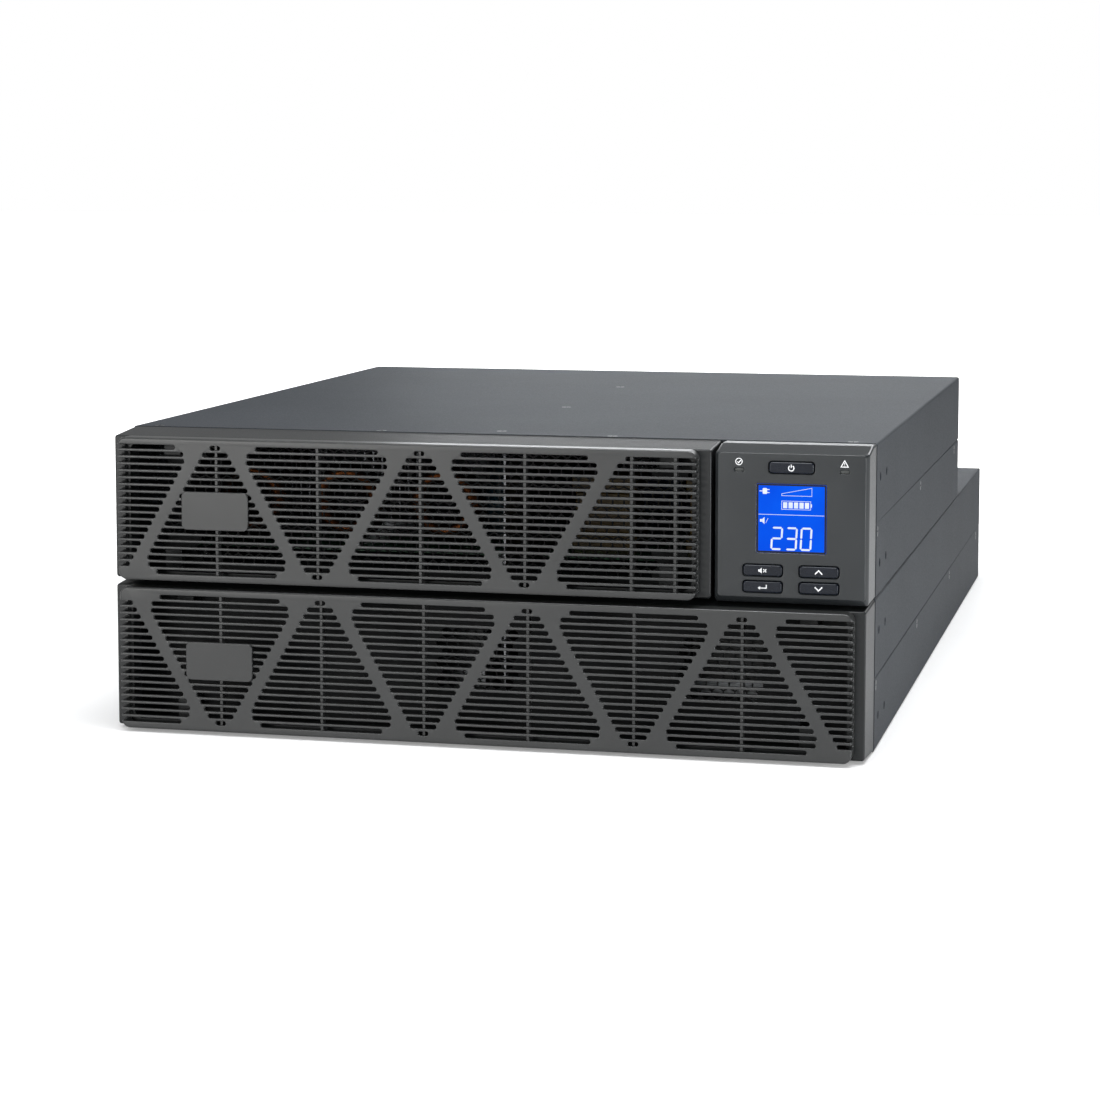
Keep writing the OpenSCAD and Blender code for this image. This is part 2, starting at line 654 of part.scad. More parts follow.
keys = [ // x, z, width of each button in the order power, mute, enter, up, down
    [display_cx, power_z, power_w],
    [display_cx - key_pitch_x / 2, key_row_z[1], key_w],
    [display_cx - key_pitch_x / 2, key_row_z[0], key_w],
    [display_cx + key_pitch_x / 2, key_row_z[1], key_w],
    [display_cx + key_pitch_x / 2, key_row_z[0], key_w]];

// A cube given by its middle in X and Z, its size there and its run in Y.
module box_y(x, z, w, h, y0, y1) block([x - w / 2, y0, z - h / 2], [x + w / 2, y1, z + h / 2]);

module display_housing() color(plastic) in_ups() difference() {
    display_form(0);
    translate([0, 0.01, 0]) display_form(wall);
    block([display_x0 + wall, -wall, seat + wall], [display_x1 - wall, 0, unit_h - seat - wall]);
    box_y(display_cx, screen_z, screen_w, screen_h, face_y - 1, face_in + 1);
    for (k = keys) box_y(k[0], k[1], k[2] + 2 * key_gap, key_h + 2 * key_gap, face_y - 1, face_in + 1);
    for (s = [-1, 1]) box_y(display_cx + s * led_dx, led_z, led_w, led_h, face_y - 1, face_in + 1);
}

module display_back_cover() color(dark) in_ups() {
    w = display_w - 2 * wall - 2 * fit;
    h = unit_h - 2 * seat - 2 * wall - 2 * fit;
    difference() {
        union() {
            box_y(display_cx, unit_h / 2, w, h, -wall, -seat - 0.3);
            box_y(display_cx, dock_z, dock_in - 2 * slide, dock_in - 2 * slide, -wall, dock_depth - 2);
        }
        box_y(display_cx, dock_z, dock_in - 2 * slide - 4, dock_in - 2 * slide - 4,
              -wall - 1, dock_depth - 4);
    }
    for (sx = [-1, 1]) for (sz = [-1, 1])
        translate([display_cx + sx * (w / 2 - 6), 0, unit_h / 2 + sz * (h / 2 - 8)])
            rod_y(2.5, board_y + pcb_t, -wall - board_y - pcb_t + 0.01);
}

module display_dock() color(dark) in_ups() difference() {
    union() {
        box_y(display_cx, dock_z, dock_in + 2 * slide + 2 * dock_wall, dock_in + 2 * slide + 2 * dock_wall,
              sheet, dock_depth);
        box_y(display_cx, dock_z, dock_in + 16, dock_in + 16, sheet, sheet + 1.5);
    }
    box_y(display_cx, dock_z, dock_in + slide, dock_in + slide, 0, dock_depth + 1);
}

module lcd_window() color([0.1, 0.3, 0.9], 0.5) in_ups() {
    box_y(display_cx, screen_z, screen_w - 0.2, screen_h - 0.2, face_y + 0.8, face_in + 0.2);
    box_y(display_cx, screen_z, screen_w + 5, screen_h + 5, face_in + 0.1, face_in + 1.3);
}

module lcd_module() color([0.1, 0.25, 0.85]) in_ups()
    box_y(display_cx, screen_z, screen_w + 6, screen_h + 5, face_in + 1.4, board_y);

module display_board() color(board_green) in_ups() {
    box_y(display_cx, unit_h / 2, display_w - 2 * wall - 2, unit_h - 2 * wall - 6, board_y, board_y + pcb_t);
    for (k = keys) box_y(k[0], k[1], 6, 5.6, board_y - switch_h, board_y);
}

module light_pipes() color([0.85, 0.9, 0.85]) in_ups() for (s = [-1, 1])
    box_y(display_cx + s * led_dx, led_z, led_w - 0.2, led_h - 0.2, face_y + 0.2, board_y - 0.1);

// A button: its cap, a flange behind the wall and a stem to the switch.
module button(k) {
    cap_in = face_in + 0.6;
    tip = board_y - switch_h - key_travel - 0.1;
    box_y(k[0], k[1], k[2], key_h, face_y - key_proud, cap_in + key_flange);
    box_y(k[0], k[1], k[2] + 2, key_h + 1.6, cap_in, cap_in + key_flange);
    box_y(k[0], k[1], 4, 4, cap_in, tip);
}

key_blue = [0.17, 0.19, 0.23];
module power_button() color(key_blue) in_ups() button(keys[0]);
module mute_button() color(key_blue) in_ups() button(keys[1]);
module enter_button() color(key_blue) in_ups() button(keys[2]);
module up_button() color(key_blue) in_ups() button(keys[3]);
module down_button() color(key_blue) in_ups() button(keys[4]);

// ---------------------------------------------------------------- electronics

left_x0 = -half_w + board_margin;
left_x1 = -4;
right_x0 = 14;
right_x1 = half_w - board_margin;
control_y1 = 250;
filter_y0 = control_y1 + 15;
filter_y1 = board_y1 - card_len + 40;

module board(x0, x1, y0, y1) block([x0, y0, pcb_z], [x1, y1, pcb_z + pcb_t]);
module power_board() color(board_green) in_ups() board(left_x0, left_x1, board_y0, board_y1);
module control_board() color(board_green) in_ups() board(right_x0, right_x1, board_y0, control_y1);
module filter_board() color(board_green) in_ups() board(right_x0, right_x1, filter_y0, filter_y1);

module standoffs(x0, x1, y0, y1) for (x = [x0 + 6, x1 - 6]) for (y = [y0 + 6, y1 - 6])
    translate([x, y, sheet]) cylinder(r = 3, h = pcb_z - sheet);
module board_standoffs() color(metal) in_ups() {
    standoffs(left_x0, left_x1, board_y0, board_y1);
    standoffs(right_x0, right_x1, board_y0, control_y1);
    standoffs(right_x0, right_x1, filter_y0, filter_y1);
}

top_of_board = pcb_z + pcb_t;
module heatsink() {
    block([-18, 0, 0], [18, 190, 6]);
    for (i = [0:6]) translate([-18 + i * 5.75, 0, 0]) cube([1.5, 190, 56]);
}
module heatsinks() color(metal) in_ups() for (x = [left_x0 + 40, left_x0 + 100])
    translate([x, board_y0 + 90, top_of_board]) heatsink();

module toroid() rotate([90, 0, 0]) rotate_extrude() translate([17, 0]) circle(r = 8, $fn = 32);
module inductors() color([0.75, 0.4, 0.15]) in_ups() for (i = [0:2])
    translate([left_x0 + 30 + i * 62, board_y0 + 30, top_of_board + 25]) toroid();

// A row of capacitors that ends before the option card's rails.
cap_y0 = board_y0 + 84;
cap_pitch = 32;
cap_count = floor((ups_d - card_len - cap_y0 - 40) / cap_pitch) + 1;
module bus_capacitors() color([0.1, 0.35, 0.45]) in_ups() for (i = [0:cap_count - 1])
    translate([left_x1 - 26, cap_y0 + i * cap_pitch, top_of_board]) cylinder(r = 12.5, h = 45);

module transformers() color([0.85, 0.7, 0.2]) in_ups() for (i = [0:1])
    translate([right_x0 + 30 + i * 70, board_y0 + 50, top_of_board]) {
        translate([-20, -17, 0]) cube([40, 34, 10]);
        translate([-17, -20, 10]) cube([34, 40, 24]);
        translate([-20, -17, 34]) cube([40, 34, 10]);
    }

module relays() color([0.1, 0.2, 0.6]) in_ups() for (i = [0:3])
    translate([right_x0 + 14 + i * 38, filter_y0 + 8, top_of_board]) cube([28, 20, 22]);

// ---------------------------------------------------------------- rear of the power unit

fan_screw_r = 1.8;
fan_back = ups_d - sheet;         // face of the fan frame on the rear panel
rotor_y0 = fan_back - fan_t + 1.5;
hub_len = fan_t - 8;
base_y0 = fan_back - 4;

module fan_frame() difference() {
    union() {
        difference() {
            plate_xz(fan_back, fan_t) polygon(round_pts(-fan_w / 2, -fan_w / 2, fan_w / 2, fan_w / 2, 4));
            rod_y(fan_blade_r + 1.5, fan_back - fan_t - 1, fan_t + 2);
        }
        rod_y(fan_hub_r - 1, base_y0, 4);
        for (a = [45:90:315]) rotate([0, a, 0])
            block([fan_hub_r - 3, base_y0, -1.5], [fan_blade_r + 2.5, base_y0 + 4, 1.5]);
    }
    rod_y(1.5 + running, base_y0 - 1, 4);
    for (sx = [-1, 1]) for (sz = [-1, 1]) translate([sx * fan_bolt, 0, sz * fan_bolt])
        rod_y(fan_screw_r + 0.1, fan_back - fan_t - 1, fan_t + 2);
}

module fan_frames() color(dark) in_ups() for (x = fan_x) translate([x, 0, fan_z]) fan_frame();

// Hub, shaft and seven blades set at an angle.
module fan_rotor(x) translate([x, 0, fan_z]) {
    rod_y(fan_hub_r, rotor_y0, hub_len);
    rod_y(1.5, rotor_y0 + hub_len - 0.01, base_y0 + 2.5 - rotor_y0 - hub_len);
    intersection() {
        difference() {
            rod_y(fan_blade_r, rotor_y0, hub_len);
            rod_y(fan_hub_r - 1, rotor_y0 - 1, hub_len + 2);
        }
        for (i = [0:6]) rotate([0, i * 360 / 7, 0]) translate([0, rotor_y0 + hub_len / 2, 0])
            rotate([40, 0, 0]) translate([fan_hub_r - 2, -12, -0.8]) cube([fan_blade_r, 24, 1.6]);
    }
}
module fan_rotor_left() color(dark) in_ups() fan_rotor(fan_x[0]);
module fan_rotor_right() color(dark) in_ups() fan_rotor(fan_x[1]);

// Wire guards over the fans, with the screws that hold guard and fan.
fan_screw_len = 10;
guard_wire_r = 0.9;
module fan_guard() {
    y = ups_d + guard_wire_r;
    for (r = [10, 18, 26, 34]) translate([0, y, 0]) rotate([90, 0, 0]) rotate_extrude()
        translate([r, 0]) circle(r = guard_wire_r, $fn = 16);
    for (a = [45:90:315]) rotate([0, a, 0]) translate([9, y, 0]) rotate([0, 90, 0])
        cylinder(r = guard_wire_r, h = fan_bolt * sqrt(2) - 9 - 3, $fn = 16);
    for (sx = [-1, 1]) for (sz = [-1, 1]) translate([sx * fan_bolt, 0, sz * fan_bolt]) {
        rod_y(3.6, ups_d, 2);
        rod_y(fan_screw_r, fan_back - fan_screw_len, fan_screw_len + sheet + 0.01);
    }
}
module fan_guards() color(metal) in_ups() for (x = fan_x) translate([x, 0, fan_z]) fan_guard();

module input_breaker_body() color(dark) in_ups() breaker_body(breaker_x, ups_d);
module input_breaker_toggle() color([0.1, 0.1, 0.1]) in_ups() breaker_toggle(breaker_x, ups_d);

// Serial, universal serial bus and emergency-off sockets: x, width, height.
ports = [[card_x - 14, 30, 12.5], [card_x + 14, 12, 11], [card_x + 31, 10, 8]];
port_wall = 1.2;
port_depth = 10;
module comm_ports() color([0.6, 0.6, 0.62]) in_ups() for (p = ports) {
    difference() {
        union() {
            box_y(p[0], port_z, p[1], p[2], ups_d - 14, ups_d + 1.5);
            box_y(p[0], port_z, p[1] + 3, p[2] + 3, ups_d - sheet - 1.5, ups_d - sheet);
        }
        box_y(p[0], port_z, p[1] - 2 * port_wall, p[2] - 2 * port_wall, ups_d + 1.5 - port_depth, ups_d + 3);
    }
}

// The option card: its bracket lies on the rear panel, and its board slides between two rails.
card_board_z = card_z - 4;
module option_card() color(steel) in_ups() {
    board_w = card_w - 4;
    box_y(card_x, card_z, card_w + 14, card_h + 4, ups_d + fit, ups_d + fit + sheet);
    box_y(card_x, card_board_z, board_w, pcb_t, ups_d - card_len, ups_d + fit);
    for (s = [-1, 1]) translate([card_x + s * (card_w / 2 + 3.2), 0, card_z])
        rod_y(2.6, ups_d + fit + sheet - 0.01, 7);
}

module card_rails() color(metal) in_ups() for (s = [-1, 1]) {
    edge = card_w / 2 - 2;
    difference() {
        box_y(card_x + s * (edge + 0.5), card_board_z, 6, 8, ups_d - card_len, ups_d - sheet - 0.3);
        box_y(card_x + s * (edge - 3), card_board_z, 6 + 2 * slide, pcb_t + 2 * slide,
              ups_d - card_len - 1, ups_d);
    }
}

// Terminal block behind the rear panel's opening, with barrier walls and screws.
block_w = 72;
block_h = 24;
block_z = unit_h / 2;
poles = 6;
module terminal_block() color([0.12, 0.12, 0.12]) in_ups() {
    difference() {
        box_y(terminal_x, block_z, block_w, block_h, ups_d - 14, ups_d + 14);
        for (i = [0:poles - 1]) translate([terminal_x - block_w / 2 + (i + 0.5) * block_w / poles, 0, 0])
            box_y(0, block_z + 3, block_w / poles - 2, block_h, ups_d + 4, ups_d + 15);
    }
    box_y(terminal_x, block_z, block_w + 6, block_h + 6, ups_d - sheet - 2, ups_d - sheet);
}

cable_x = [terminal_x - 23, terminal_x + 23];
cable_z = unit_h / 2;
module terminal_cover() color(steel) in_ups() difference() {
    x0 = terminal_x - terminal_w / 2;
    x1 = terminal_x + terminal_w / 2;
    block([x0, ups_d + fit, terminal_z0], [x1, ups_d + terminal_reach, terminal_z1]);
    block([x0 + sheet, ups_d, terminal_z0 + sheet],
          [x1 - sheet, ups_d + terminal_reach - sheet, terminal_z1 - sheet]);
    for (x = cable_x) translate([x, 0, cable_z]) rod_y(cable_r, ups_d + terminal_reach - 5, 10);
}

// Socket for the battery pack's lead.
socket_w = 22;
socket_h = 14;
socket_z = 16;
module battery_socket() color(dark) in_ups() {
    difference() {
        union() {
            box_y(socket_x, socket_z, socket_w, socket_h, ups_d - 16, ups_d + 3);
            box_y(socket_x, socket_z, socket_w + 5, socket_h + 4, ups_d - sheet - 2, ups_d - sheet);
        }
        box_y(socket_x, socket_z, socket_w - 6, socket_h - 5, ups_d - 9, ups_d + 4);
    }
}

pack_base_tray();
pack_top_cover();
pack_front_panel();
pack_rear_panel();
pack_divider();
pack_cover_screws();
pack_bezel_frame();
pack_grille();
pack_badge_plate();
battery_tray_left();
battery_tray_right();
battery_blocks_left();
battery_blocks_right();
battery_links();
fuse_board();
pack_breaker_body();
pack_breaker_toggle();
pack_connectors();
ups_base_tray();
ups_top_cover();
ups_front_panel();
ups_rear_panel();
ups_divider();
ups_cover_screws();
ups_bezel_frame();
ups_grille();
ups_badge_plate();
display_housing();
display_back_cover();
display_dock();
lcd_window();
lcd_module();
display_board();
light_pipes();
power_button();
mute_button();
enter_button();
up_button();
down_button();
power_board();
control_board();
filter_board();
board_standoffs();
heatsinks();
inductors();
bus_capacitors();
transformers();
relays();
fan_frames();
fan_rotor_left();
fan_rotor_right();
fan_guards();
input_breaker_body();
input_breaker_toggle();
comm_ports();
option_card();
card_rails();
terminal_block();
terminal_cover();
battery_socket();
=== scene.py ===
"""Looks of a rack-mount power unit standing on its battery pack.

Everything is in metres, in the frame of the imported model: X to the right seen from the front,
Y to the rear, Z up. Lengths written in millimetres are multiplied by MM.
"""
import json
import math

import bmesh
import bpy
import numpy as np
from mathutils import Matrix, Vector
from mathutils.geometry import delaunay_2d_cdt


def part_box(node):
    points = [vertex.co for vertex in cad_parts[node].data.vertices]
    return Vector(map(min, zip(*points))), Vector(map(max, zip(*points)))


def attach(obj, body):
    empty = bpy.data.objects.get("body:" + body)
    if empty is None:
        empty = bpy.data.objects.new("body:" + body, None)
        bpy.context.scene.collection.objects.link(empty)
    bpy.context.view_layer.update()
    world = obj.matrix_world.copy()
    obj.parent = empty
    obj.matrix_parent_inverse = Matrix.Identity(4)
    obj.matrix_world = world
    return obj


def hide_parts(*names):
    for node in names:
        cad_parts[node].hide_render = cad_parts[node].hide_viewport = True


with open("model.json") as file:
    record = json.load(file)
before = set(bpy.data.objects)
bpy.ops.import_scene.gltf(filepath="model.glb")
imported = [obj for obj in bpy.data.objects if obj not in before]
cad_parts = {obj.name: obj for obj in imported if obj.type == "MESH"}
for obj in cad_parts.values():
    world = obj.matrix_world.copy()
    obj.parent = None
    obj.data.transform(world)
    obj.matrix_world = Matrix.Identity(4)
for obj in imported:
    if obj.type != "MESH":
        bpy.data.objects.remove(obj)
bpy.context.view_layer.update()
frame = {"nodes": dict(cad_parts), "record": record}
MM = 0.001

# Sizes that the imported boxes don't give, in mm.
SEAT = 0.3                  # between a bezel and the box that it sits on
WALL = 2.5                  # moulded walls
OVERLAP = 0.1               # how far one block runs into the next
STEEL = 1.2                 # sheet steel
TONGUES = (0.08, 0.92)      # the bezel's tongues, as shares of its width
TONGUE_IN = 14              # from a box's top or foot to a tongue's middle
SCREEN = (38.4, 38.0)       # the screen's opening, and the height of its middle
SCREEN_Z = 47.4
KEYS = ("power_button", "mute_button", "enter_button", "up_button", "down_button")
KEY_BODIES = ("power_key", "mute_key", "enter_key", "up_key", "down_key")
KEY_WIDTH = dict(zip(KEYS, (24.6, 21.5, 21.5, 21.5, 21.5)))
KEY_HEIGHT, KEY_GAP, KEY_CORNER = 6.1, 0.25, 1.7
CAP_DEPTH, FLANGE, FLANGE_REACH = 4.4, 1.0, (1.0, 0.8)     # a key's cap, and the flange behind that keeps it in
LAMP_WIDTH, LAMP_CORNER = 5.2, 1.1
LAMP_DEPTH = 1.1            # how far a light guide sits back in its slot
EAR_Y, EAR_Z = (17, 46), (18, 66.5)    # the ear holes behind the front edge and over the foot
GUARD_WIRE = 0.9            # radius of the guards' wire
GUARD_RINGS = (10, 18, 26, 34)
FAN_BOLT = 35.75            # from a fan's axis to its bolts, in X and in Z
HUB_R, BLADE_R, HUB_LENGTH, SHAFT_R = 16.0, 36.7, 17, 1.5
BLADES = 7
PORTS = ((16.5, 30, 12.5, 2.5), (44.5, 12, 11, 6.5), (61.5, 10, 8, 6.5))   # middle, width, height, insert's depth
PORT_WALL = 1.25
CARD_SCREW = 33.2           # from the option card's middle to its thumbscrews


# -------------------- camera, light and floor

LENS_REACH = 2766.0        # focal length, where the frame is FRAME_WIDE across
FRAME_WIDE = 1100.0
SENSOR_MM = 36.0
CAMERA_AZIMUTH = math.radians(13.71)
CAMERA_ELEVATION = math.radians(5.52)
CHASSIS_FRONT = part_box("ups_base_tray")[0].y
CAMERA_PLACE = Vector((0.4016, CHASSIS_FRONT - 1.5185, 0.3281))
VIEW_SHIFT = (0.003, -0.11)
FLOOR_SIZE, FLOOR_DROP = 30, 0.0003
DARK_SIDE = (0.75, 0.66, 0.0)
SURROUND = (0.75, 0.05)    # the surround's strength on the bright and on the dark side
LIGHTS = (                 # name, place, target, size, watts, tint
    ("overhead", (0.2, -0.45, 1.9), (0.05, -0.2, 0.1), (1.4, 0.9), 46, (0.97, 0.985, 1)),
    ("front", (-1.3, -3.0, 0.36), (0, -0.3, 0.08), (1.3, 0.6), 26, (1, 0.99, 0.97)),
    ("right", (1.5, -0.8, 0.2), (0.22, -0.3, 0.06), (0.5, 0.3), 14, (0.97, 0.985, 1)),
    ("rear", (0.9, 2.5, 1.7), (0, 0.25, 0.1), (1.2, 0.9), 22, (0.97, 0.985, 1)),
    ("rear_sheen", (-0.5, 3.2, 0.6), (-0.05, 0, 0.17), (1.2, 0.4), 9, (0.95, 0.975, 1)),
)


def make_camera():
    """A long lens from the front right, a little above, with a small upward view shift."""
    data = bpy.data.cameras.new("camera")
    data.sensor_width = SENSOR_MM
    data.lens = LENS_REACH * SENSOR_MM / FRAME_WIDE
    data.shift_x, data.shift_y = VIEW_SHIFT
    data.clip_end = 100
    camera = bpy.data.objects.new("camera", data)
    bpy.context.scene.collection.objects.link(camera)
    back = Vector((math.sin(CAMERA_AZIMUTH) * math.cos(CAMERA_ELEVATION),
                   -math.cos(CAMERA_AZIMUTH) * math.cos(CAMERA_ELEVATION),
                   math.sin(CAMERA_ELEVATION)))
    camera.location = CAMERA_PLACE
    camera.rotation_mode = "QUATERNION"
    camera.rotation_quaternion = (-back).to_track_quat("-Z", "Y")
    bpy.context.scene.camera = camera


def add_area_light(name, place, target, size, watts, tint):
    """A soft rectangle of light that faces its target and isn't seen itself."""
    data = bpy.data.lights.new(name, "AREA")
    data.shape = "RECTANGLE"
    data.size, data.size_y = size
    data.energy = watts
    data.color = tint
    light = bpy.data.objects.new(name, data)
    light.location = place
    light.rotation_mode = "QUATERNION"
    light.rotation_quaternion = (Vector(target) - Vector(place)).to_track_quat("-Z", "Y")
    light.visible_camera = False
    bpy.context.scene.collection.objects.link(light)


def make_studio():
    """A pale floor under soft light: a white surround that falls off towards the rear right, a broad box overhead,
    smaller ones in front and behind, and a low one behind that puts a sheen on the top."""
    scene = bpy.context.scene
    scene.view_settings.view_transform = "Standard"
    scene.world = bpy.data.worlds.new("studio")
    scene.world.use_nodes = True
    tree = scene.world.node_tree
    tree.nodes.clear()
    way = add_node(tree, "TexCoord").outputs["Generated"]
    towards = add_node(tree, "VectorMath", {0: way, 1: DARK_SIDE}, operation="DOT_PRODUCT")
    fall = add_node(tree, "MapRange", {"Value": towards.outputs["Value"], "From Min": -0.5, "From Max": 0.9,
                                                 "To Min": SURROUND[0], "To Max": SURROUND[1]})
    seen = add_node(tree, "LightPath").outputs["Is Camera Ray"]
    strength = add_node(tree, "Math", {0: seen, 1: fall.outputs["Result"]}, operation="MAXIMUM")
    sky = add_node(tree, "Background", {"Color": (1, 1, 1, 1), "Strength": strength.outputs["Value"]})
    add_node(tree, "OutputWorld", {"Surface": sky.outputs["Background"]})
    for light in LIGHTS:
        add_area_light(*light)
    bpy.ops.mesh.primitive_plane_add(size=FLOOR_SIZE, location=(0, 0, -FLOOR_DROP))
    floor = bpy.context.object
    floor.name = "floor"
    floor.data.materials.append(floor_paint())


# -------------------- materials

def linear(hex_colour):
    """An sRGB hex colour as linear RGBA."""
    value = np.array([int(hex_colour[i:i + 2], 16) for i in (1, 3, 5)]) / 255
    rgb = np.where(value <= 0.04045, value / 12.92, ((value + 0.055) / 1.055) ** 2.4)
    return (*rgb.tolist(), 1.0)


def add_node(tree, kind, inputs=None, stops=(), **settings):
    """Adds one shader node, sets its properties and colour stops, and fills inputs with values or links them."""
    made = tree.nodes.new("ShaderNode" + kind)
    for name, value in settings.items():
        setattr(made, name, value)
    for element, (position, hex_colour) in zip(made.color_ramp.elements if stops else (), stops):
        element.position, element.color = position, linear(hex_colour)
    for name, value in (inputs or {}).items():
        if isinstance(value, bpy.types.NodeSocket):
            tree.links.new(value, made.inputs[name])
        else:
            made.inputs[name].default_value = value
    return made


UNLIT = "#06080c"           # what a lit surface shows when it is off
SOCKETS = {"gloss": "Specular IOR Level", "ior": "IOR", "metal": "Metallic", "glow": "Emission Strength"}


def finish(name, colours, rough, cloud_mm, grain_mm, depth_mm=0.0, stretch=(1, 1, 1), **shader):
    """A solid finish with unevenness at two scales: clouds cloud_mm across wander between its two colours, and a
    grain of grain_mm varies its roughness and raises the surface by up to depth_mm."""
    material = bpy.data.materials.new(name)
    material.use_nodes = True
    tree = material.node_tree
    tree.nodes.clear()
    place = add_node(tree, "TexCoord").outputs["Object"]
    turned = add_node(tree, "Mapping", {"Vector": place, "Scale": stretch}).outputs["Vector"]
    cloud = add_node(tree, "TexNoise", {"Vector": turned, "Scale": 1 / (cloud_mm * MM), "Detail": 3.0})
    grain = add_node(tree, "TexNoise", {"Vector": turned, "Scale": 1 / (grain_mm * MM), "Detail": 2.0})
    colour = add_node(tree, "ValToRGB", {"Fac": cloud.outputs["Fac"]},
                      [(0.35, colours[0]), (0.65, colours[1])])
    dull = add_node(tree, "MapRange", {"Value": grain.outputs["Fac"], "From Min": 0.3, "From Max": 0.7,
                                                 "To Min": rough[0], "To Max": rough[1]})
    surface = {"Base Color": colour.outputs["Color"], "Roughness": dull.outputs["Result"]}
    if depth_mm:
        raised = add_node(tree, "Bump", {"Height": grain.outputs["Fac"], "Distance": depth_mm * MM})
        surface["Normal"] = raised.outputs["Normal"]
    if "glow" in shader:
        surface["Emission Color"] = colour.outputs["Color"]
        surface["Base Color"] = linear(UNLIT)
    skin = add_node(tree, "BsdfPrincipled", {**surface, **{SOCKETS[k]: v for k, v in shader.items()}})
    add_node(tree, "OutputMaterial", {"Surface": skin.outputs["BSDF"]})
    return material


def solder_resist():
    """Green solder resist over copper: tracks run 2.5 mm apart, drawn coarser than the real ones so that they
    show, a paler green."""
    material = finish("green_solder_resist", ("#0f4a2a", "#0c3d24"), (0.25, 0.35), 20, 2)
    tree = material.node_tree
    skin = tree.nodes["Principled BSDF"]
    place = tree.nodes["Texture Coordinate"].outputs["Object"]
    tracks = add_node(tree, "TexBrick", {
        "Vector": place, "Scale": 1 / (10 * MM), "Color1": linear("#0f4a2a"), "Color2": linear("#0c3d24"),
        "Mortar": linear("#1f6b3c"), "Mortar Size": 0.025, "Row Height": 0.25, "Brick Width": 1.2})
    tree.links.new(tracks.outputs["Color"], skin.inputs["Base Color"])
    return material


MATERIALS = {
    # Powder coat, sprayed on sheet steel and baked: matt, its orange peel too fine to see but as a soft sheen.
    "painted_steel": finish("powder_coated_steel", ("#313438", "#35383c"), (0.5, 0.6), 70, 0.9, 0.02,
                            gloss=0.07, ior=1.5),
    # Black dip coat on the punched sheets inside: darker and a little glossier.
    "black_steel": finish("black_dip_coated_steel", ("#08090a", "#0c0d0f"), (0.4, 0.5), 50, 0.8, 0.01,
                          gloss=0.12, ior=1.5),
    # Zinc plate, electroplated and passivated: cloudy grey with a soft metal shine.
    "zinc_steel": finish("zinc_plated_steel", ("#86888c", "#a4a6aa"), (0.32, 0.46), 12, 3, metal=1.0),
    # Screws plated black: dark metal, worn a little brighter in spots.
    "screw_steel": finish("black_zinc_screw_steel", ("#2a2b2e", "#414246"), (0.32, 0.42), 2, 0.8, metal=1.0),
    # ABS moulded in a spark-eroded tool: an even grain, matt with a faint warm sheen.
    "bezel_plastic": finish("spark_eroded_abs", ("#2a2b2b", "#2e2f2f"), (0.28, 0.36), 40, 0.6, 0.012,
                            gloss=0.42, ior=1.53),
    # ABS keys from a polished tool: blue-black and smoother than the housing.
    "key_plastic": finish("slate_blue_key_abs", ("#0b1019", "#0f141e"), (0.26, 0.34), 20, 0.5, 0.006,
                          gloss=0.26, ior=1.53),
    # Glass-filled nylon of fans, sockets and breakers: black, with a slightly rough skin.
    "black_plastic": finish("black_nylon", ("#131314", "#191919"), (0.4, 0.55), 15, 0.6, 0.015,
                            gloss=0.4, ior=1.53),
    # A liquid-crystal cell lit from behind, under polished glass: an even deep blue.
    "clear_window": finish("lit_lcd_cell", ("#0050ea", "#005cf6"), (0.2, 0.26), 25, 5,
                           gloss=0.01, ior=1.5, glow=1.0),
    # The backlight's acrylic guide behind the cell.
    "lcd_blue": finish("lcd_backlight_acrylic", ("#0044d0", "#0050e4"), (0.3, 0.4), 25, 5,
                       gloss=0.25, ior=1.49, glow=0.8),
    # Frosted acrylic light guides, not lit: a grey that shows the cavity behind.
    "light_pipe": finish("frosted_acrylic", ("#3f4241", "#4c4f4e"), (0.25, 0.35), 4, 0.8, ior=1.49),
    "circuit_board": solder_resist(),
    # Enamelled copper wire and tinned links: warm metal under varnish.
    "copper": finish("enamelled_copper_wire", ("#331a0b", "#41230f"), (0.25, 0.35), 3, 0.9, metal=1.0),
    # Aluminium, extruded: drawing lines run along its length.
    "aluminium": finish("extruded_aluminium", ("#77797d", "#8c8e92"), (0.3, 0.4), 3, 1.2, 0.0, (1, 0.05, 1),
                        metal=1.0),
    # Heat-shrunk sleeve on capacitors: a dark petrol colour with a waxy shine.
    "capacitor_sleeve": finish("shrunk_pvc_sleeve", ("#0b2c38", "#0f3644"), (0.2, 0.3), 8, 1, gloss=0.4),
    # Polyester tape wound on transformers.
    "yellow_tape": finish("polyester_tape", ("#46340a", "#51400e"), (0.35, 0.45), 10, 1, gloss=0.3),
    # Moulded relay cases.
    "relay_blue": finish("blue_relay_abs", ("#12275a", "#172f6a"), (0.25, 0.35), 10, 1),
    # Drawn and nickel-plated port shells.
    "port_metal": finish("nickel_plated_shell", ("#8f9093", "#a6a7aa"), (0.22, 0.32), 5, 1, metal=1.0),
}
# The same ABS with its colour darkened as painted shade for the bezels' base mouldings, which lie in shade round and
# between the grilles.
FRAME_PLASTIC_PAINTED_SHADE = finish("spark_eroded_abs_base_painted_shade", ("#191b1c", "#1d1f20"), (0.34, 0.42), 40, 0.6, 0.012,
                       gloss=0.3, ior=1.53)
DISPLAY_PLASTIC = finish("spark_eroded_abs_display", ("#232628", "#272a2c"), (0.3, 0.38), 40, 0.6, 0.012,
                         gloss=0.38, ior=1.53)
# The cell's clear segments, through which the backlight shows white.
SEGMENT = finish("clear_lcd_segment", ("#dcebff", "#f4f9ff"), (0.2, 0.3), 4, 1, glow=0.95)
# Black ink printed behind the glass round the cell.
BLACK_PRINT = finish("black_screen_print", ("#040508", "#07080c"), (0.2, 0.3), 6, 1, gloss=0.3)
# Pad-printed white ink, a little uneven.
WHITE_INK = finish("white_pad_print", ("#e2e4e6", "#f0f1f2"), (0.45, 0.55), 1, 0.4)


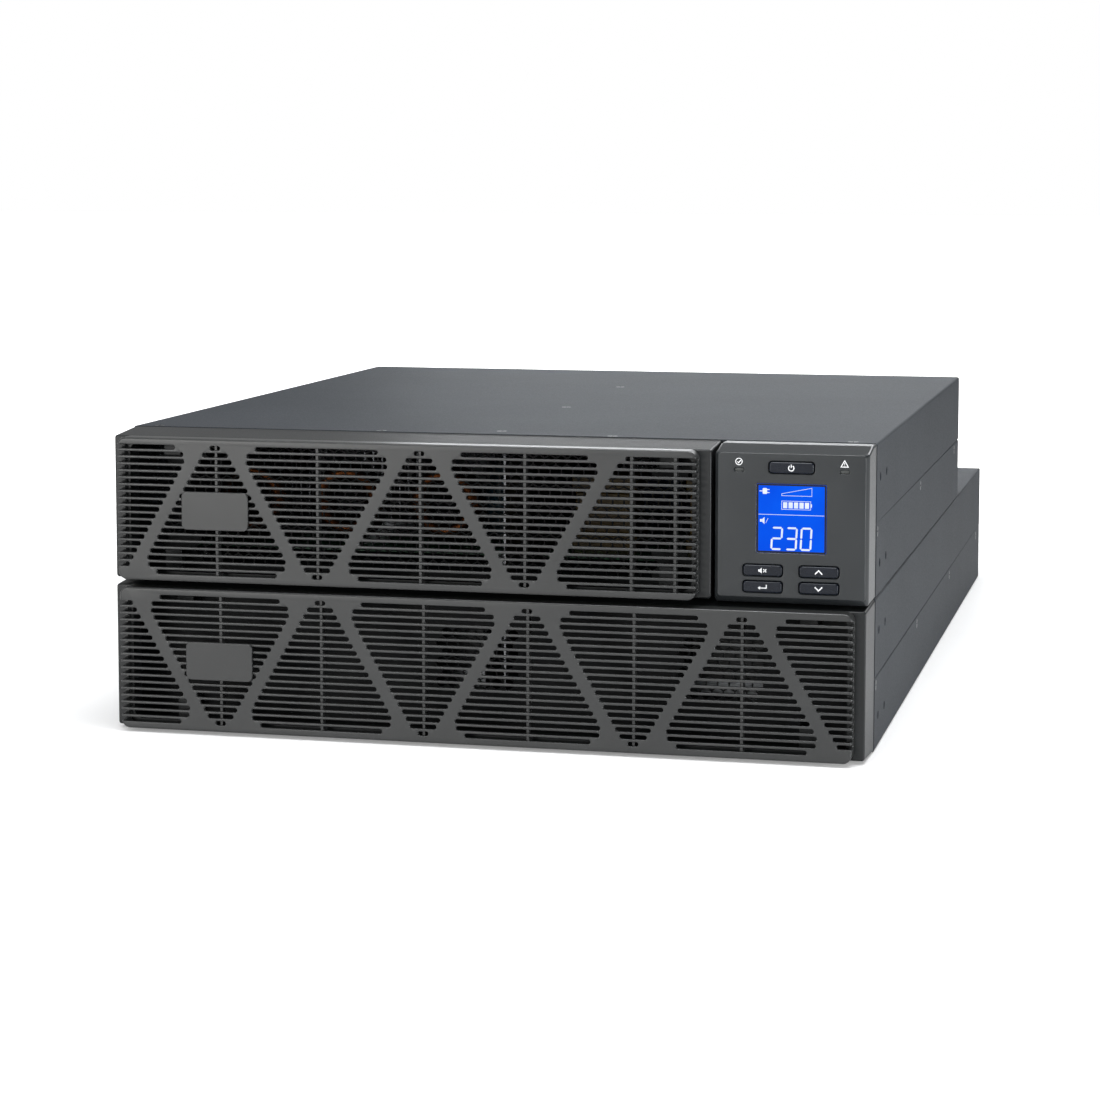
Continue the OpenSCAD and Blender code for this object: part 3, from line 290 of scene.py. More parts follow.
def floor_paint():
    """A matt white floor, faintly uneven, that grows as white as the backdrop away from the object, as a studio's
    curved sheet does: a ramp on the distance from the middle feeds a glow that only the camera sees."""
    material = finish("matt_white_floor", ("#d8d8d8", "#dedede"), (0.8, 0.9), 500, 40)
    tree = material.node_tree
    skin = tree.nodes["Principled BSDF"]
    place = tree.nodes["Texture Coordinate"].outputs["Object"]
    away = add_node(tree, "VectorMath", {0: place}, operation="LENGTH")
    ramp = add_node(tree, "MapRange", {"Value": away.outputs["Value"], "From Min": 0.45, "From Max": 0.95,
                                                 "To Min": 0.25}, interpolation_type="SMOOTHSTEP")
    seen = add_node(tree, "LightPath").outputs["Is Camera Ray"]
    glow = add_node(tree, "Math", {0: ramp.outputs["Result"], 1: seen}, operation="MULTIPLY")
    skin.inputs["Emission Color"].default_value = (1, 1, 1, 1)
    tree.links.new(glow.outputs["Value"], skin.inputs["Emission Strength"])
    return material


# -------------------- mesh helpers, in millimetres

def box_mm(node):
    """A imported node's lowest and highest corners."""
    low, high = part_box(node)
    return np.array(low) / MM, np.array(high) / MM


WELD, COINCIDENT = 0.002, 0.0005       # how near points are when they are welded, in mm


def middle_mm(node):
    """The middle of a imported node's box."""
    return sum(box_mm(node)) / 2


def shade(mesh, angle=38):
    """Smooth shading, with edges sharper than the angle kept crisp."""
    mesh.polygons.foreach_set("use_smooth", np.ones(len(mesh.polygons), bool))
    mesh.set_sharp_from_angle(angle=math.radians(angle))


def mesh_of(name, parts, weld, turn_out):
    """One mesh from (vertices, faces) parts, welded where parts meet, and then its faces turned outwards if asked.
    For that, only points that coincide are welded, so that every solid is closed and keeps its shape."""
    vertices, faces, start = [], [], 0
    for points, corners in parts:
        vertices.append(np.asarray(points, float).reshape(-1, 3))
        faces += [[i + start for i in row] for row in
                  (corners.tolist() if isinstance(corners, np.ndarray) else corners)]
        start += len(vertices[-1])
    mesh = bpy.data.meshes.new(name)
    mesh.from_pydata((np.concatenate(vertices) * MM).tolist(), [], faces)
    if weld:
        bm = bmesh.new()
        bm.from_mesh(mesh)
        bmesh.ops.remove_doubles(bm, verts=bm.verts, dist=(COINCIDENT if turn_out else WELD) * MM)
        if turn_out:
            bmesh.ops.recalc_face_normals(bm, faces=bm.faces)
        bm.to_mesh(mesh)
        bm.free()
    shade(mesh)
    return mesh


def put(name, parts, slot, body, replaces=(), material=None, weld=True, turn_out=False):
    """Puts parts, or a finished mesh, into the scene as a piece of the object. Flats keep their own normals."""
    mesh = parts if isinstance(parts, bpy.types.Mesh) else mesh_of(name, parts, weld, turn_out)
    piece = bpy.data.objects.new(name, mesh)
    bpy.context.scene.collection.objects.link(piece)
    mesh.materials.clear()
    mesh.materials.append(material or MATERIALS[slot])
    even = piece.modifiers.new("even_flats", "WEIGHTED_NORMAL")
    even.keep_sharp = True
    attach(piece, body)
    if replaces:
        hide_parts(*replaces)
    return piece


def rounded_loop(x0, x1, z0, z1, radius, steps=6):
    """A rounded rectangle as an (n, 2) array, anticlockwise seen from the front: four quarter arcs."""
    radius = max(min(radius, (x1 - x0) / 2 - 0.001, (z1 - z0) / 2 - 0.001), 0.001)
    turn = np.linspace(0, math.pi / 2, steps + 1)
    corners = [(x1 - radius, z1 - radius), (x0 + radius, z1 - radius),
               (x0 + radius, z0 + radius), (x1 - radius, z0 + radius)]
    return np.concatenate([np.stack([cx + radius * np.cos(turn + q * math.pi / 2),
                                     cz + radius * np.sin(turn + q * math.pi / 2)], 1)
                           for q, (cx, cz) in enumerate(corners)])


def at_depth(loop, y):
    """Stands a loop drawn in X and Z at the depth y."""
    return np.stack([loop[:, 0], np.full(len(loop), float(y)), loop[:, 1]], 1)


def sweep(stations, closed=False):
    """Joins equal loops, given from back to front, by quads: a profile carried round a loop."""
    rings = np.stack(stations)
    count, size = rings.shape[:2]
    row, column = np.meshgrid(np.arange(count if closed else count - 1), np.arange(size), indexing="ij")
    after, beside = (row + 1) % count, (column + 1) % size
    quads = np.stack([row * size + column, row * size + beside, after * size + beside,
                      after * size + column], -1).reshape(-1, 4)
    return rings.reshape(-1, 3), quads


def cap(ring, front=True):
    """A flat cap over a convex loop."""
    order = list(range(len(ring)))
    return ring, [order if front else order[::-1]]


def solid(rings):
    """Equal loops from back to front joined into a closed solid with flat ends."""
    return [sweep(rings), cap(rings[-1]), cap(rings[0], False)]


def quarter(radius, steps=4):
    """(inset, depth) pairs along a quarter circle from a wall, where the inset is 0, to the face before it."""
    turn = np.linspace(0, math.pi / 2, steps + 1)
    return list(zip(radius * (1 - np.cos(turn)), radius * (1 - np.sin(turn))))


def rounded_block(x0, x1, z0, z1, y0, y1, corner, edge):
    """A closed block from y0, its front, to y1: a rounded rectangle carried along Y, its front and back edges
    turned in by quarter circles."""
    def ring(inset, y):
        return at_depth(rounded_loop(x0 + inset, x1 - inset, z0 + inset, z1 - inset, corner - inset, 4), y)
    return solid([ring(i, y1 - d) for i, d in reversed(quarter(edge, 2))] + [ring(i, y0 + d) for i, d in quarter(edge)])


def swept_area(loop):
    """Twice a loop's area, positive where it runs anticlockwise."""
    x, z = np.asarray(loop, float).T
    return float((x * np.roll(z, -1) - z * np.roll(x, -1)).sum())


def punched_sheet(outline, holes, creases=()):
    """Triangles of the flat region inside the outline and outside the holes, whose edges follow every loop.
    Also gives the rim's edges, the material on their left, and each rim point's way out of the material:
    the sum of its two edges' normals, scaled so that a shift keeps the edges parallel."""
    loops = [loop if swept_area(loop) > 0 else loop[::-1] for loop in [outline, *holes, *creases]]
    starts = np.cumsum([0] + [len(loop) for loop in loops]).tolist()
    rings = [list(range(a, b)) for a, b in zip(starts, starts[1:])]
    lines = [pair for ring in rings[1 + len(holes):] for pair in zip(ring, ring[1:] + ring[:1])]
    found = delaunay_2d_cdt([Vector(p) for p in np.concatenate(loops).tolist()], lines,
                            rings[:1 + len(holes)], 1, 1e-5)
    flat = np.array([tuple(p) for p in found[0]])
    triangles = np.array([face for face, owners in zip(found[2], found[5]) if list(owners) == [0]])
    a, b, c = flat[triangles[:, 0]], flat[triangles[:, 1]], flat[triangles[:, 2]]
    turned = (b[:, 0] - a[:, 0]) * (c[:, 1] - a[:, 1]) < (b[:, 1] - a[:, 1]) * (c[:, 0] - a[:, 0])
    triangles[turned] = triangles[turned][:, ::-1]
    half = np.concatenate([triangles[:, [0, 1]], triangles[:, [1, 2]], triangles[:, [2, 0]]])
    size = len(flat)
    rim = half[~np.isin(half[:, 0] * size + half[:, 1], half[:, 1] * size + half[:, 0])]
    along = flat[rim[:, 1]] - flat[rim[:, 0]]
    normal = np.stack([along[:, 1], -along[:, 0]], 1) / np.linalg.norm(along, axis=1)[:, None]
    out = np.zeros_like(flat)
    np.add.at(out, rim[:, 0], normal)
    np.add.at(out, rim[:, 1], normal)
    out *= 2 / np.maximum((out ** 2).sum(1), 0.5)[:, None]
    return flat, triangles, rim, out


def slab(sheet, thickness, edge, steps=3):
    """Gives a punched sheet its thickness: front, a quarter-circle rim of radius edge, walls and back.
    Returns plane points, their depths behind the front, and faces."""
    flat, triangles, rim, out = sheet
    ids = np.unique(rim)
    place = np.zeros(len(flat), int)
    place[ids] = np.arange(len(ids))
    turn = np.linspace(0, math.pi / 2, steps + 1)[1:] if edge else []
    points, depths = [flat], [np.zeros(len(flat))]
    rows = [rim]
    for angle in turn:
        rows.append(place[rim] + sum(map(len, points)))
        points.append(flat[ids] + out[ids] * edge * math.sin(angle))
        depths.append(np.full(len(ids), edge * (1 - math.cos(angle))))
    start = sum(map(len, points))
    rows.append(rim + start)
    points.append(flat + out * edge)
    depths.append(np.full(len(flat), thickness))
    quads = np.concatenate([np.stack([f[:, 0], b[:, 0], b[:, 1], f[:, 1]], 1) for f, b in zip(rows, rows[1:])])
    faces = triangles.tolist() + (triangles[:, ::-1] + start).tolist() + quads.tolist()
    return np.concatenate(points), np.concatenate(depths), faces


def flat_slab(outline, holes, y, thickness, edge, steps=3):
    """A flat punched plate with its front at y."""
    points, depths, faces = slab(punched_sheet(outline, holes), thickness, edge, steps)
    return np.stack([points[:, 0], y + depths, points[:, 1]], 1), faces


def bend_round(points, depths, low, high, front, corner, fold):
    """Wraps a flat sheet round a box with rounded corners. Each point's distance past the box's inner rectangle
    runs first along the face, then round a quarter circle of radius fold, then straight back."""
    middle = np.clip(points, low + corner, high - corner)
    past = np.linalg.norm(points - middle, axis=1)
    way = (points - middle) / np.maximum(past, 1e-9)[:, None]
    flat_run = corner - fold
    turn = np.clip((past - flat_run) / fold, 0, math.pi / 2)
    reach = np.where(past < flat_run, past, flat_run + (fold - depths) * np.sin(turn))
    back = fold - (fold - depths) * np.cos(turn) + np.maximum(past - flat_run - fold * math.pi / 2, 0)
    spot = middle + way * reach[:, None]
    return np.stack([spot[:, 0], front + back, spot[:, 1]], 1)


# -------------------- grilles, bezels and badges

ROWS, ROW_STEP, SLOT_HEIGHT = 19, 4.0, 2.5
PITCH, WIDEST, BAND = 60.45, 41.8, 8.0
SLOT_EDGE = 0.45            # rounding of every slot's rim
CORNER, FOLD, SKIN = 5.0, 1.2, 2.0
WRAP_ZONE = 6.0             # slots that come nearer than this to an end run round it
STEP_BACK = 3.0             # what stays closed at the foot of the end walls
RIB = 1.6
FIRST_RIB = 59.7            # from the upper grille's left end to its first rib


def half_slot(k):
    """Half the length of slot k, counted from the triangle's wide side."""
    if k < 4:
        return WIDEST - (5.5, 0.5, 0.0)[k - 1]
    slope = (2 * (WIDEST - 1.7) - PITCH + BAND) / (ROWS - 7)
    return 3.0 if k == ROWS else WIDEST - 1.7 - slope * (k - 4)


def make_grille(kind, rib_x, first_up, open_end):
    """A moulded grille: a flat sheet with rows of round-ended slots in triangles that point up and down by turns,
    wrapped round its box, with upright ribs inside. With an open end, the last triangle's slots run to that end."""
    low, high = box_mm(kind + "_grille")
    base = box_mm(kind + "_bezel_frame")[0][1]
    front, depth = low[1], base - low[1]
    low, high = low[[0, 2]], high[[0, 2]]
    turn_end = CORNER - FOLD + FOLD * math.pi / 2
    border = turn_end + depth - FOLD
    wrap = border - STEP_BACK - CORNER
    row_z = (low[1] + high[1] - (ROWS - 1) * ROW_STEP) / 2 + ROW_STEP * np.arange(ROWS)
    reach = SLOT_HEIGHT / 2 + SLOT_EDGE
    holes = []
    count = int((high[0] - rib_x) // PITCH) + 1
    for n in range(-1, count if open_end else count + 1):
        up = (n % 2 == 0) == first_up
        for i in range(ROWS):
            half = half_slot(i + 1 if up else ROWS - i)
            x0, x1 = rib_x + n * PITCH - half, rib_x + n * PITCH + half
            x1 = high[0] if open_end and n == count - 1 else x1
            if x1 <= low[0] + WRAP_ZONE or x0 >= high[0] - WRAP_ZONE:
                continue
            x0 = low[0] - wrap if x0 <= low[0] + WRAP_ZONE else x0
            x1 = high[0] + wrap if x1 >= high[0] - WRAP_ZONE else x1
            holes.append(rounded_loop(x0 - SLOT_EDGE, x1 + SLOT_EDGE, row_z[i] - reach, row_z[i] + reach, reach, 5))
    runs = [CORNER - FOLD + FOLD * math.pi / 2 * share for share in (0, 0.25, 0.5, 0.75, 1)]
    creases = [rounded_loop(low[0] + CORNER - run, high[0] - CORNER + run, low[1] + CORNER - run,
                            high[1] - CORNER + run, run, 8) for run in runs]
    outline = rounded_loop(low[0] + CORNER - border, high[0] - CORNER + border, low[1] + CORNER - border,
                           high[1] - CORNER + border, border, 8)
    flat, triangles, rim, out = punched_sheet(outline, holes, creases)
    middle = np.clip(flat, low + CORNER, high - CORNER)
    out[np.linalg.norm(flat - middle, axis=1) > border - 0.1] = 0   # the foot of the walls stays straight
    points, depths, faces = slab((flat, triangles, rim, out), SKIN, SLOT_EDGE)
    parts = [(bend_round(points, depths, low, high, front, CORNER, FOLD), faces)]
    ribs = [rib_x + n * PITCH for n in range(count) if rib_x + n * PITCH < high[0] - WRAP_ZONE]
    for x in ribs + ([high[0] - 2 * WRAP_ZONE] if open_end else []):
        parts += rounded_block(x - RIB / 2, x + RIB / 2, row_z[0] - 3, row_z[-1] + 3, front + SKIN - OVERLAP,
                               base - STEP_BACK, 0.3, 0.2)
    name = kind + "_grille_moulding"
    put(name, parts, "bezel_plastic", kind + "_bezel", [kind + "_grille"])


def tongues(kind):
    """Where a bezel's four tongues stand: X, Z, and whether each is near the foot (-1) or the top (1)."""
    low, high = box_mm(kind + "_bezel_frame")
    return [(low[0] + share * (high[0] - low[0]), z, side) for share in TONGUES for z, side in
            ((low[2] - SEAT + TONGUE_IN, -1), (high[2] + SEAT - TONGUE_IN, 1))]


def make_bezel_frame(kind, right_taper):
    """The moulding behind a grille: a rounded rectangle that narrows to the front, with a rounded front edge,
    an opening behind the grille and walls of one thickness, closed round its whole profile."""
    low, high = box_mm(kind + "_bezel_frame")
    grille_low, grille_high = box_mm(kind + "_grille")
    back, face = CHASSIS_FRONT / MM - SEAT, low[1]
    edge = 1.0

    def outer(y, inset=0.0, radius=1.6):
        share = (back - y) / (back - face)
        return at_depth(rounded_loop(low[0] + 0.8 * share + inset, high[0] - right_taper * share - inset,
                                     low[2] + 1.4 * share + inset, high[2] - 2.1 * share - inset, radius), y)

    def opening(y):
        return at_depth(rounded_loop(grille_low[0] + 4, grille_high[0] - 4, grille_low[2] + 4,
                                     grille_high[2] - 4, CORNER), y)
    stations = [outer(back)] + [outer(face + depth, inset, 1.6) for inset, depth in quarter(edge)]
    stations += [opening(face), opening(face + WALL), outer(face + WALL, WALL, 0.6), outer(back, WALL, 0.6)]
    parts = [sweep(stations, closed=True)]
    half, thick, seated = 5, 1.5, back + SEAT
    for x, z, side in tongues(kind):
        z0, z1 = sorted((z - side * thick, high[2] - thick if side > 0 else low[2] + thick))
        parts += rounded_block(x - half, x + half, z0, z1, seated - 12, seated - 6, 0.5, 0.3)
        parts += rounded_block(x - half, x + half, z - thick, z + thick, seated - 12 + OVERLAP, seated + 8, 0.5, 0.4)
    name = kind + "_bezel_base"
    # The base takes the ABS darkened as painted shade, not the grille's own colour.
    put(name, parts, "bezel_plastic", kind + "_bezel", [kind + "_bezel_frame"], FRAME_PLASTIC_PAINTED_SHADE)


def make_badge(kind):
    """A bare badge plate: a rounded plate with a turned-in front edge."""
    low, high = box_mm(kind + "_badge_plate")
    block = rounded_block(low[0], high[0], low[2], high[2], low[1], high[1], 3, 0.5)
    put(kind + "_badge", block, "bezel_plastic", kind + "_bezel", [kind + "_badge_plate"])


# -------------------- display module

def lamp_spans():
    """Where the two light guides start and end in X."""
    low, high = box_mm("light_pipes")
    return (low[0], low[0] + LAMP_WIDTH), (high[0] - LAMP_WIDTH, high[0])


def make_display():
    """The display's housing: a front plate with round-edged openings on a shell whose top slopes back."""
    low, high = box_mm("display_housing")
    face, back = low[1], high[1]
    centre = (low[0] + high[0]) / 2
    rim = 0.7

    def window(x0, x1, z0, z1, corner):
        return rounded_loop(x0 - rim, x1 + rim, z0 - rim, z1 + rim, corner + rim, 5)
    holes = [window(centre - SCREEN[0] / 2, centre + SCREEN[0] / 2, SCREEN_Z + low[2] - SEAT - SCREEN[1] / 2,
                    SCREEN_Z + low[2] - SEAT + SCREEN[1] / 2, 0.8)]
    for key in KEYS:
        x, _, z = middle_mm(key)
        wide, tall = KEY_WIDTH[key] / 2 + KEY_GAP, KEY_HEIGHT / 2 + KEY_GAP
        holes.append(window(x - wide, x + wide, z - tall, z + tall, KEY_CORNER))
    lamp_low, lamp_high = box_mm("light_pipes")
    holes += [window(x0, x1, lamp_low[2], lamp_high[2], LAMP_CORNER) for x0, x1 in lamp_spans()]
    outline = rounded_loop(low[0] + 1.5 + rim, high[0] - 1.5 - rim, low[2] + 3 + rim, high[2] - 3.2 - rim, 1.2)
    parts = [flat_slab(outline, holes, face, WALL, rim)]

    def ring(depth, left, right, bottom, top, inset=0.0, radius=1.5):
        return at_depth(rounded_loop(low[0] + left + inset, high[0] - right - inset, low[2] + bottom + inset,
                                     high[2] - top - inset, radius), face + depth)
    outside = [(rim, 1.5, 1.5, 3.0, 3.2), (1.7, 0.15, 0.94, 1.7, 2.98), (2.1, 0.0, 0.77, 1.3, 2.92),
               (3.2, 0.0, 0.3, 0.15, 2.74), (3.7, 0.0, 0.1, 0.0, 2.66), (4.4, 0.0, 0.0, 0.0, 2.55),
               (18.6, 0.0, 0.0, 0.0, 0.12), (20.6, 0.0, 0.0, 0.0, 0.0)]
    full = (0.0, 0.0, 0.0, 0.0)
    depth = back - face
    stations = [ring(depth, *full)] + [ring(*row) for row in reversed(outside)]
    stations += [ring(WALL, 2.5, 2.5, 4.0, 5.5, 0.0, 0.8), ring(WALL + 2.5, *full, WALL, 0.8),
                 ring(depth, *full, WALL, 0.8)]
    parts.append(sweep(stations, closed=True))
    put("display_shell", parts, "bezel_plastic", "display", ["display_housing"],
        DISPLAY_PLASTIC)


def make_keys():
    """Button caps: rounded blocks that stand a little out of the face, each with a flange and stem behind."""
    for key, body in zip(KEYS, KEY_BODIES):
        low, high = box_mm(key)
        x, _, z = middle_mm(key)
        half, tall = KEY_WIDTH[key] / 2, KEY_HEIGHT / 2
        parts = rounded_block(x - half, x + half, z - tall, z + tall, low[1], low[1] + CAP_DEPTH, KEY_CORNER, 1.0)
        behind = low[1] + CAP_DEPTH - OVERLAP
        half, tall = half + FLANGE_REACH[0], tall + FLANGE_REACH[1]
        parts += rounded_block(x - half, x + half, z - tall, z + tall, behind, behind + FLANGE, 1.0, 0.2)
        parts += rounded_block(x - 2, x + 2, z - 2, z + 2, behind + FLANGE - OVERLAP, high[1], 0.4, 0.2)
        put(key + "_cap", parts, "key_plastic", body, [key])


# -------------------- printed and lit symbols

LEAN = 20                   # a digit leans one part to the right in this many upwards
INK = 0.06                  # thickness of printed marks


def ribbon(points, width, closed=False):
    """A line of one width as (outline, holes): the points shifted to both sides along their mean normals."""
    points = np.asarray(points, float)
    ahead = np.roll(points, -1, 0) - points
    if not closed:
        ahead[-1] = ahead[-2]
    behind = np.roll(ahead, 1, 0)
    if not closed:
        behind[0] = ahead[0]
    n1, n2 = (np.stack([-step[:, 1], step[:, 0]], 1) / np.linalg.norm(step, axis=1)[:, None]
              for step in (ahead, behind))
    shift = (n1 + n2) / np.maximum(1 + (n1 * n2).sum(1), 0.3)[:, None] * width / 2
    left, right = points + shift, points - shift
    if not closed:
        return np.concatenate([right, left[::-1]]), []
    return (right, [left]) if swept_area(points) > 0 else (left, [right])


def arc(x, z, radius, start, end, steps=20):
    """Points on a circle from one angle to another, in degrees."""
    turn = np.radians(np.linspace(start, end, steps))
    return np.stack([x + radius * np.cos(turn), z + radius * np.sin(turn)], 1)


def put_symbols(name, shapes, y, body, slot, material, thickness=INK):
    """Thin raised symbols on a flat face at y, each a plate with its own outline and holes."""
    parts = [flat_slab(outline, holes, y - thickness, thickness, 0) for outline, holes in shapes]
    put(name, parts, slot, body, (), material, weld=False)


def digit(x, z, width, height, bars, stroke):
    """A seven-bar digit: bars cut off at 45 degrees, each point shifted right by its height over LEAN."""
    half = height / 2
    ends = {"a": ((0, height), (width, height)), "b": ((width, height), (width, half)),
            "c": ((width, half), (width, 0)), "d": ((0, 0), (width, 0)), "e": ((0, half), (0, 0)),
            "f": ((0, height), (0, half)), "g": ((0, half), (width, half))}
    shapes = []
    for bar in bars:
        a, b = map(np.array, ends[bar])
        way = (b - a) / np.linalg.norm(b - a)
        side = np.array([-way[1], way[0]]) * stroke / 2
        gap = way * stroke * 0.12
        run = way * stroke / 2
        six = np.array([a + gap, a + gap + run - side, b - gap - run - side, b - gap, b - gap - run + side,
                        a + gap + run + side])
        six[:, 0] += six[:, 1] / LEAN
        shapes.append((six + (x, z), []))
    return shapes


def make_screen():
    """The lit screen: a glass plate with symbols for supply, load, battery, sound and a number."""
    low, high = box_mm("lcd_window")
    centre, _, z_mid = middle_mm("lcd_window")
    half_w, half_h = SCREEN[0] / 2 - 0.1, SCREEN[1] / 2 - 0.1
    parts = rounded_block(centre - half_w, centre + half_w, z_mid - half_h, z_mid + half_h, low[1], low[1] + 2,
                          0.8, 0.15)
    parts += rounded_block(low[0], high[0], low[2], high[2], low[1] + 1.9, high[1], 0.5, 0.1)
    put("screen_glass", parts, "clear_window", "display", ["lcd_window"])

    def at(u, v):
        """A place on the screen, from shares of its width and height, from its upper left corner."""
        return centre - SCREEN[0] / 2 + u * SCREEN[0], z_mid + SCREEN[1] / 2 - v * SCREEN[1]

    def bar(u0, u1, v0, v1, corner=0.1):
        (x0, z1), (x1, z0) = at(u0, v0), at(u1, v1)
        return rounded_loop(x0, x1, z0, z1, corner, 2), []
    border = 0.9
    outside = rounded_loop(centre - half_w, centre + half_w, z_mid - half_h, z_mid + half_h, 0.8, 4)
    inside = rounded_loop(centre - half_w + border, centre + half_w - border, z_mid - half_h + border,
                          z_mid + half_h - border, 0.3, 4)
    put_symbols("screen_border", [(outside, [inside])], low[1], "display", "clear_window", BLACK_PRINT, 0.03)
    thin = 0.24
    shapes = [bar(0.03, 0.97, 0.442, 0.449, 0.02)]
    shapes += [bar(0.085, 0.15, 0.065, 0.15, 0.5), bar(0.15, 0.185, 0.08, 0.092, 0.02),
               bar(0.15, 0.185, 0.123, 0.135, 0.02), bar(0.04, 0.085, 0.102, 0.113, 0.02)]
    shapes.append(ribbon([at(0.36, 0.168), at(0.79, 0.168), at(0.79, 0.05), at(0.36, 0.14)], thin, True))
    shapes.append(ribbon([at(0.36, 0.245), at(0.775, 0.245), at(0.775, 0.365), at(0.36, 0.365)], thin, True))
    shapes.append(bar(0.778, 0.792, 0.28, 0.33, 0.1))
    shapes += [bar(0.38 + 0.078 * i, 0.38 + 0.078 * i + 0.06, 0.262, 0.348, 0.1) for i in range(5)]
    shapes += [bar(0.05, 0.078, 0.515, 0.555, 0.05),
               (np.array([at(0.082, 0.515), at(0.082, 0.555), at(0.115, 0.588), at(0.115, 0.482)]), [])]
    x, z = at(0.135, 0.535)
    shapes += [ribbon([(x - 0.1, z - 1.3), (x + 1.2, z + 1.3)], 0.22)]
    width, height = 0.14 * SCREEN[0], 0.31 * SCREEN[1]
    for u, bars in ((0.215, "abged"), (0.425, "abgcd"), (0.635, "abcdef")):
        x, z = at(u, 0.945)
        shapes += digit(x, z, width, height, bars, 1.05)
    put_symbols("screen_symbols", shapes, low[1], "display", "lcd_blue", SEGMENT, 0.04)


def make_marks():
    """White symbols on the buttons and over the two lamps, drawn in mm about each button's middle."""
    def middle(key):
        x, _, z = middle_mm(key)
        return x, z, box_mm(key)[0][1]

    def mark(name, shapes, y, body):
        put_symbols(name, shapes, y, body, "key_plastic", WHITE_INK)
    line = 0.55
    x, z, y = middle("power_button")
    mark("power_mark", [ribbon(arc(x, z - 0.1, 1.5, 125, 415), line), ribbon([(x, z + 0.1), (x, z + 1.9)], line)], y,
         "power_key")
    for key, body, way in (("up_button", "up_key", 1), ("down_button", "down_key", -1)):
        x, z, y = middle(key)
        mark(body + "_mark", [ribbon([(x - 2, z - way), (x, z + way), (x + 2, z - way)], line + 0.1)], y, body)
    x, z, y = middle("enter_button")
    mark("enter_mark", [ribbon([(x + 2.3, z + 1.3), (x + 2.3, z - 0.5), (x - 1.4, z - 0.5)], line),
                        (np.array([(x - 2.5, z - 0.5), (x - 1.1, z - 1.5), (x - 1.1, z + 0.5)]), [])], y, "enter_key")
    x, z, y = middle("mute_button")
    mark("mute_mark", [(np.array([(x - 2.2, z - 0.6), (x - 1.4, z - 0.6), (x - 0.3, z - 1.6), (x - 0.3, z + 1.6),
                                  (x - 1.4, z + 0.6), (x - 2.2, z + 0.6)]), []),
                       ribbon([(x + 0.6, z - 0.8), (x + 2.2, z + 0.8)], line),
                       ribbon([(x + 0.6, z + 0.8), (x + 2.2, z - 0.8)], line)], y, "mute_key")
    low, high = box_mm("light_pipes")
    face = box_mm("display_housing")[0][1]
    x, z = low[0] + LAMP_WIDTH / 2, high[2] + 3.4
    shapes = [ribbon(arc(x, z, 1.8, 0, 342, 20), 0.45, True),
              ribbon([(x - 0.9, z), (x - 0.2, z - 0.7), (x + 1.0, z + 0.8)], 0.5)]
    x = high[0] - LAMP_WIDTH / 2
    shapes += [ribbon([(x - 2, z - 1.6), (x + 2, z - 1.6), (x, z + 1.9)], 0.45, True),
               ribbon([(x, z - 0.3), (x, z + 0.7)], 0.4), ribbon([(x, z - 1.1), (x, z - 0.75)], 0.4)]
    put_symbols("lamp_marks", shapes, face, "display", "bezel_plastic", WHITE_INK)


def make_lamps():
    """Frosted light guides, rounded at their front, that reach back to the board."""
    low, high = box_mm("light_pipes")
    parts = []
    for x0, x1 in lamp_spans():
        parts += rounded_block(x0, x1, low[2], high[2], low[1] + LAMP_DEPTH, high[1], LAMP_CORNER, 0.35)
    put("lamps", parts, "light_pipe", "display", ["light_pipes"])


# -------------------- sheet metal and small hardware

FOLD_ANGLE, FOLD_LENGTH = 1.0, 100     # a fold is bent by more than this in radians, and longer than this in mm


def refined(node, body, slot, rounding, bend=0.0):
    """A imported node's merged copy, its long outer folds rounded by bend and its other sharp edges by rounding."""
    mesh = frame["nodes"][node].data.copy()
    bm = bmesh.new()
    bm.from_mesh(mesh)
    bmesh.ops.remove_doubles(bm, verts=bm.verts, dist=0.003 * MM)
    bmesh.ops.dissolve_limit(bm, angle_limit=math.radians(0.5), verts=bm.verts, edges=bm.edges)
    if bend:
        low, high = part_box(node)
        folds = [e for e in bm.edges if e.is_manifold and e.is_convex and e.calc_face_angle() > FOLD_ANGLE
                 and abs(e.verts[0].co.y - e.verts[1].co.y) > FOLD_LENGTH * MM
                 and all(min(abs(v.co[k] - low[k]), abs(v.co[k] - high[k])) < 0.1 * MM for v in e.verts
                         for k in (0, 2))]
        bmesh.ops.bevel(bm, geom=folds, offset=bend * MM, segments=5, profile=0.5, affect="EDGES")
    bm.to_mesh(mesh)
    bm.free()
    shade(mesh, 32)
    piece = put(node + "_part", mesh, slot, body, [node])
    if rounding:
        bevel = piece.modifiers.new("edges", "BEVEL")
        bevel.width = rounding * MM
        bevel.segments = 2
        bevel.limit_method = "ANGLE"
        bevel.angle_limit = math.radians(50)
        bevel.use_clamp_overlap = True
        piece.modifiers.move(1, 0)


# -------------------- punched panels behind the bezels

HEX_PITCH = 6.6
HEX_REACH = 3.35            # from a hexagon's middle to its corner
CLIP_ROOM = (5.6, 2.0)      # half the width and height of a tongue's slot
DOCK_LIP = 7.8              # how far the display's dock laps over its opening
PACK_VENTS = (-10, 132)     # middles of the battery pack's two vent patches in X


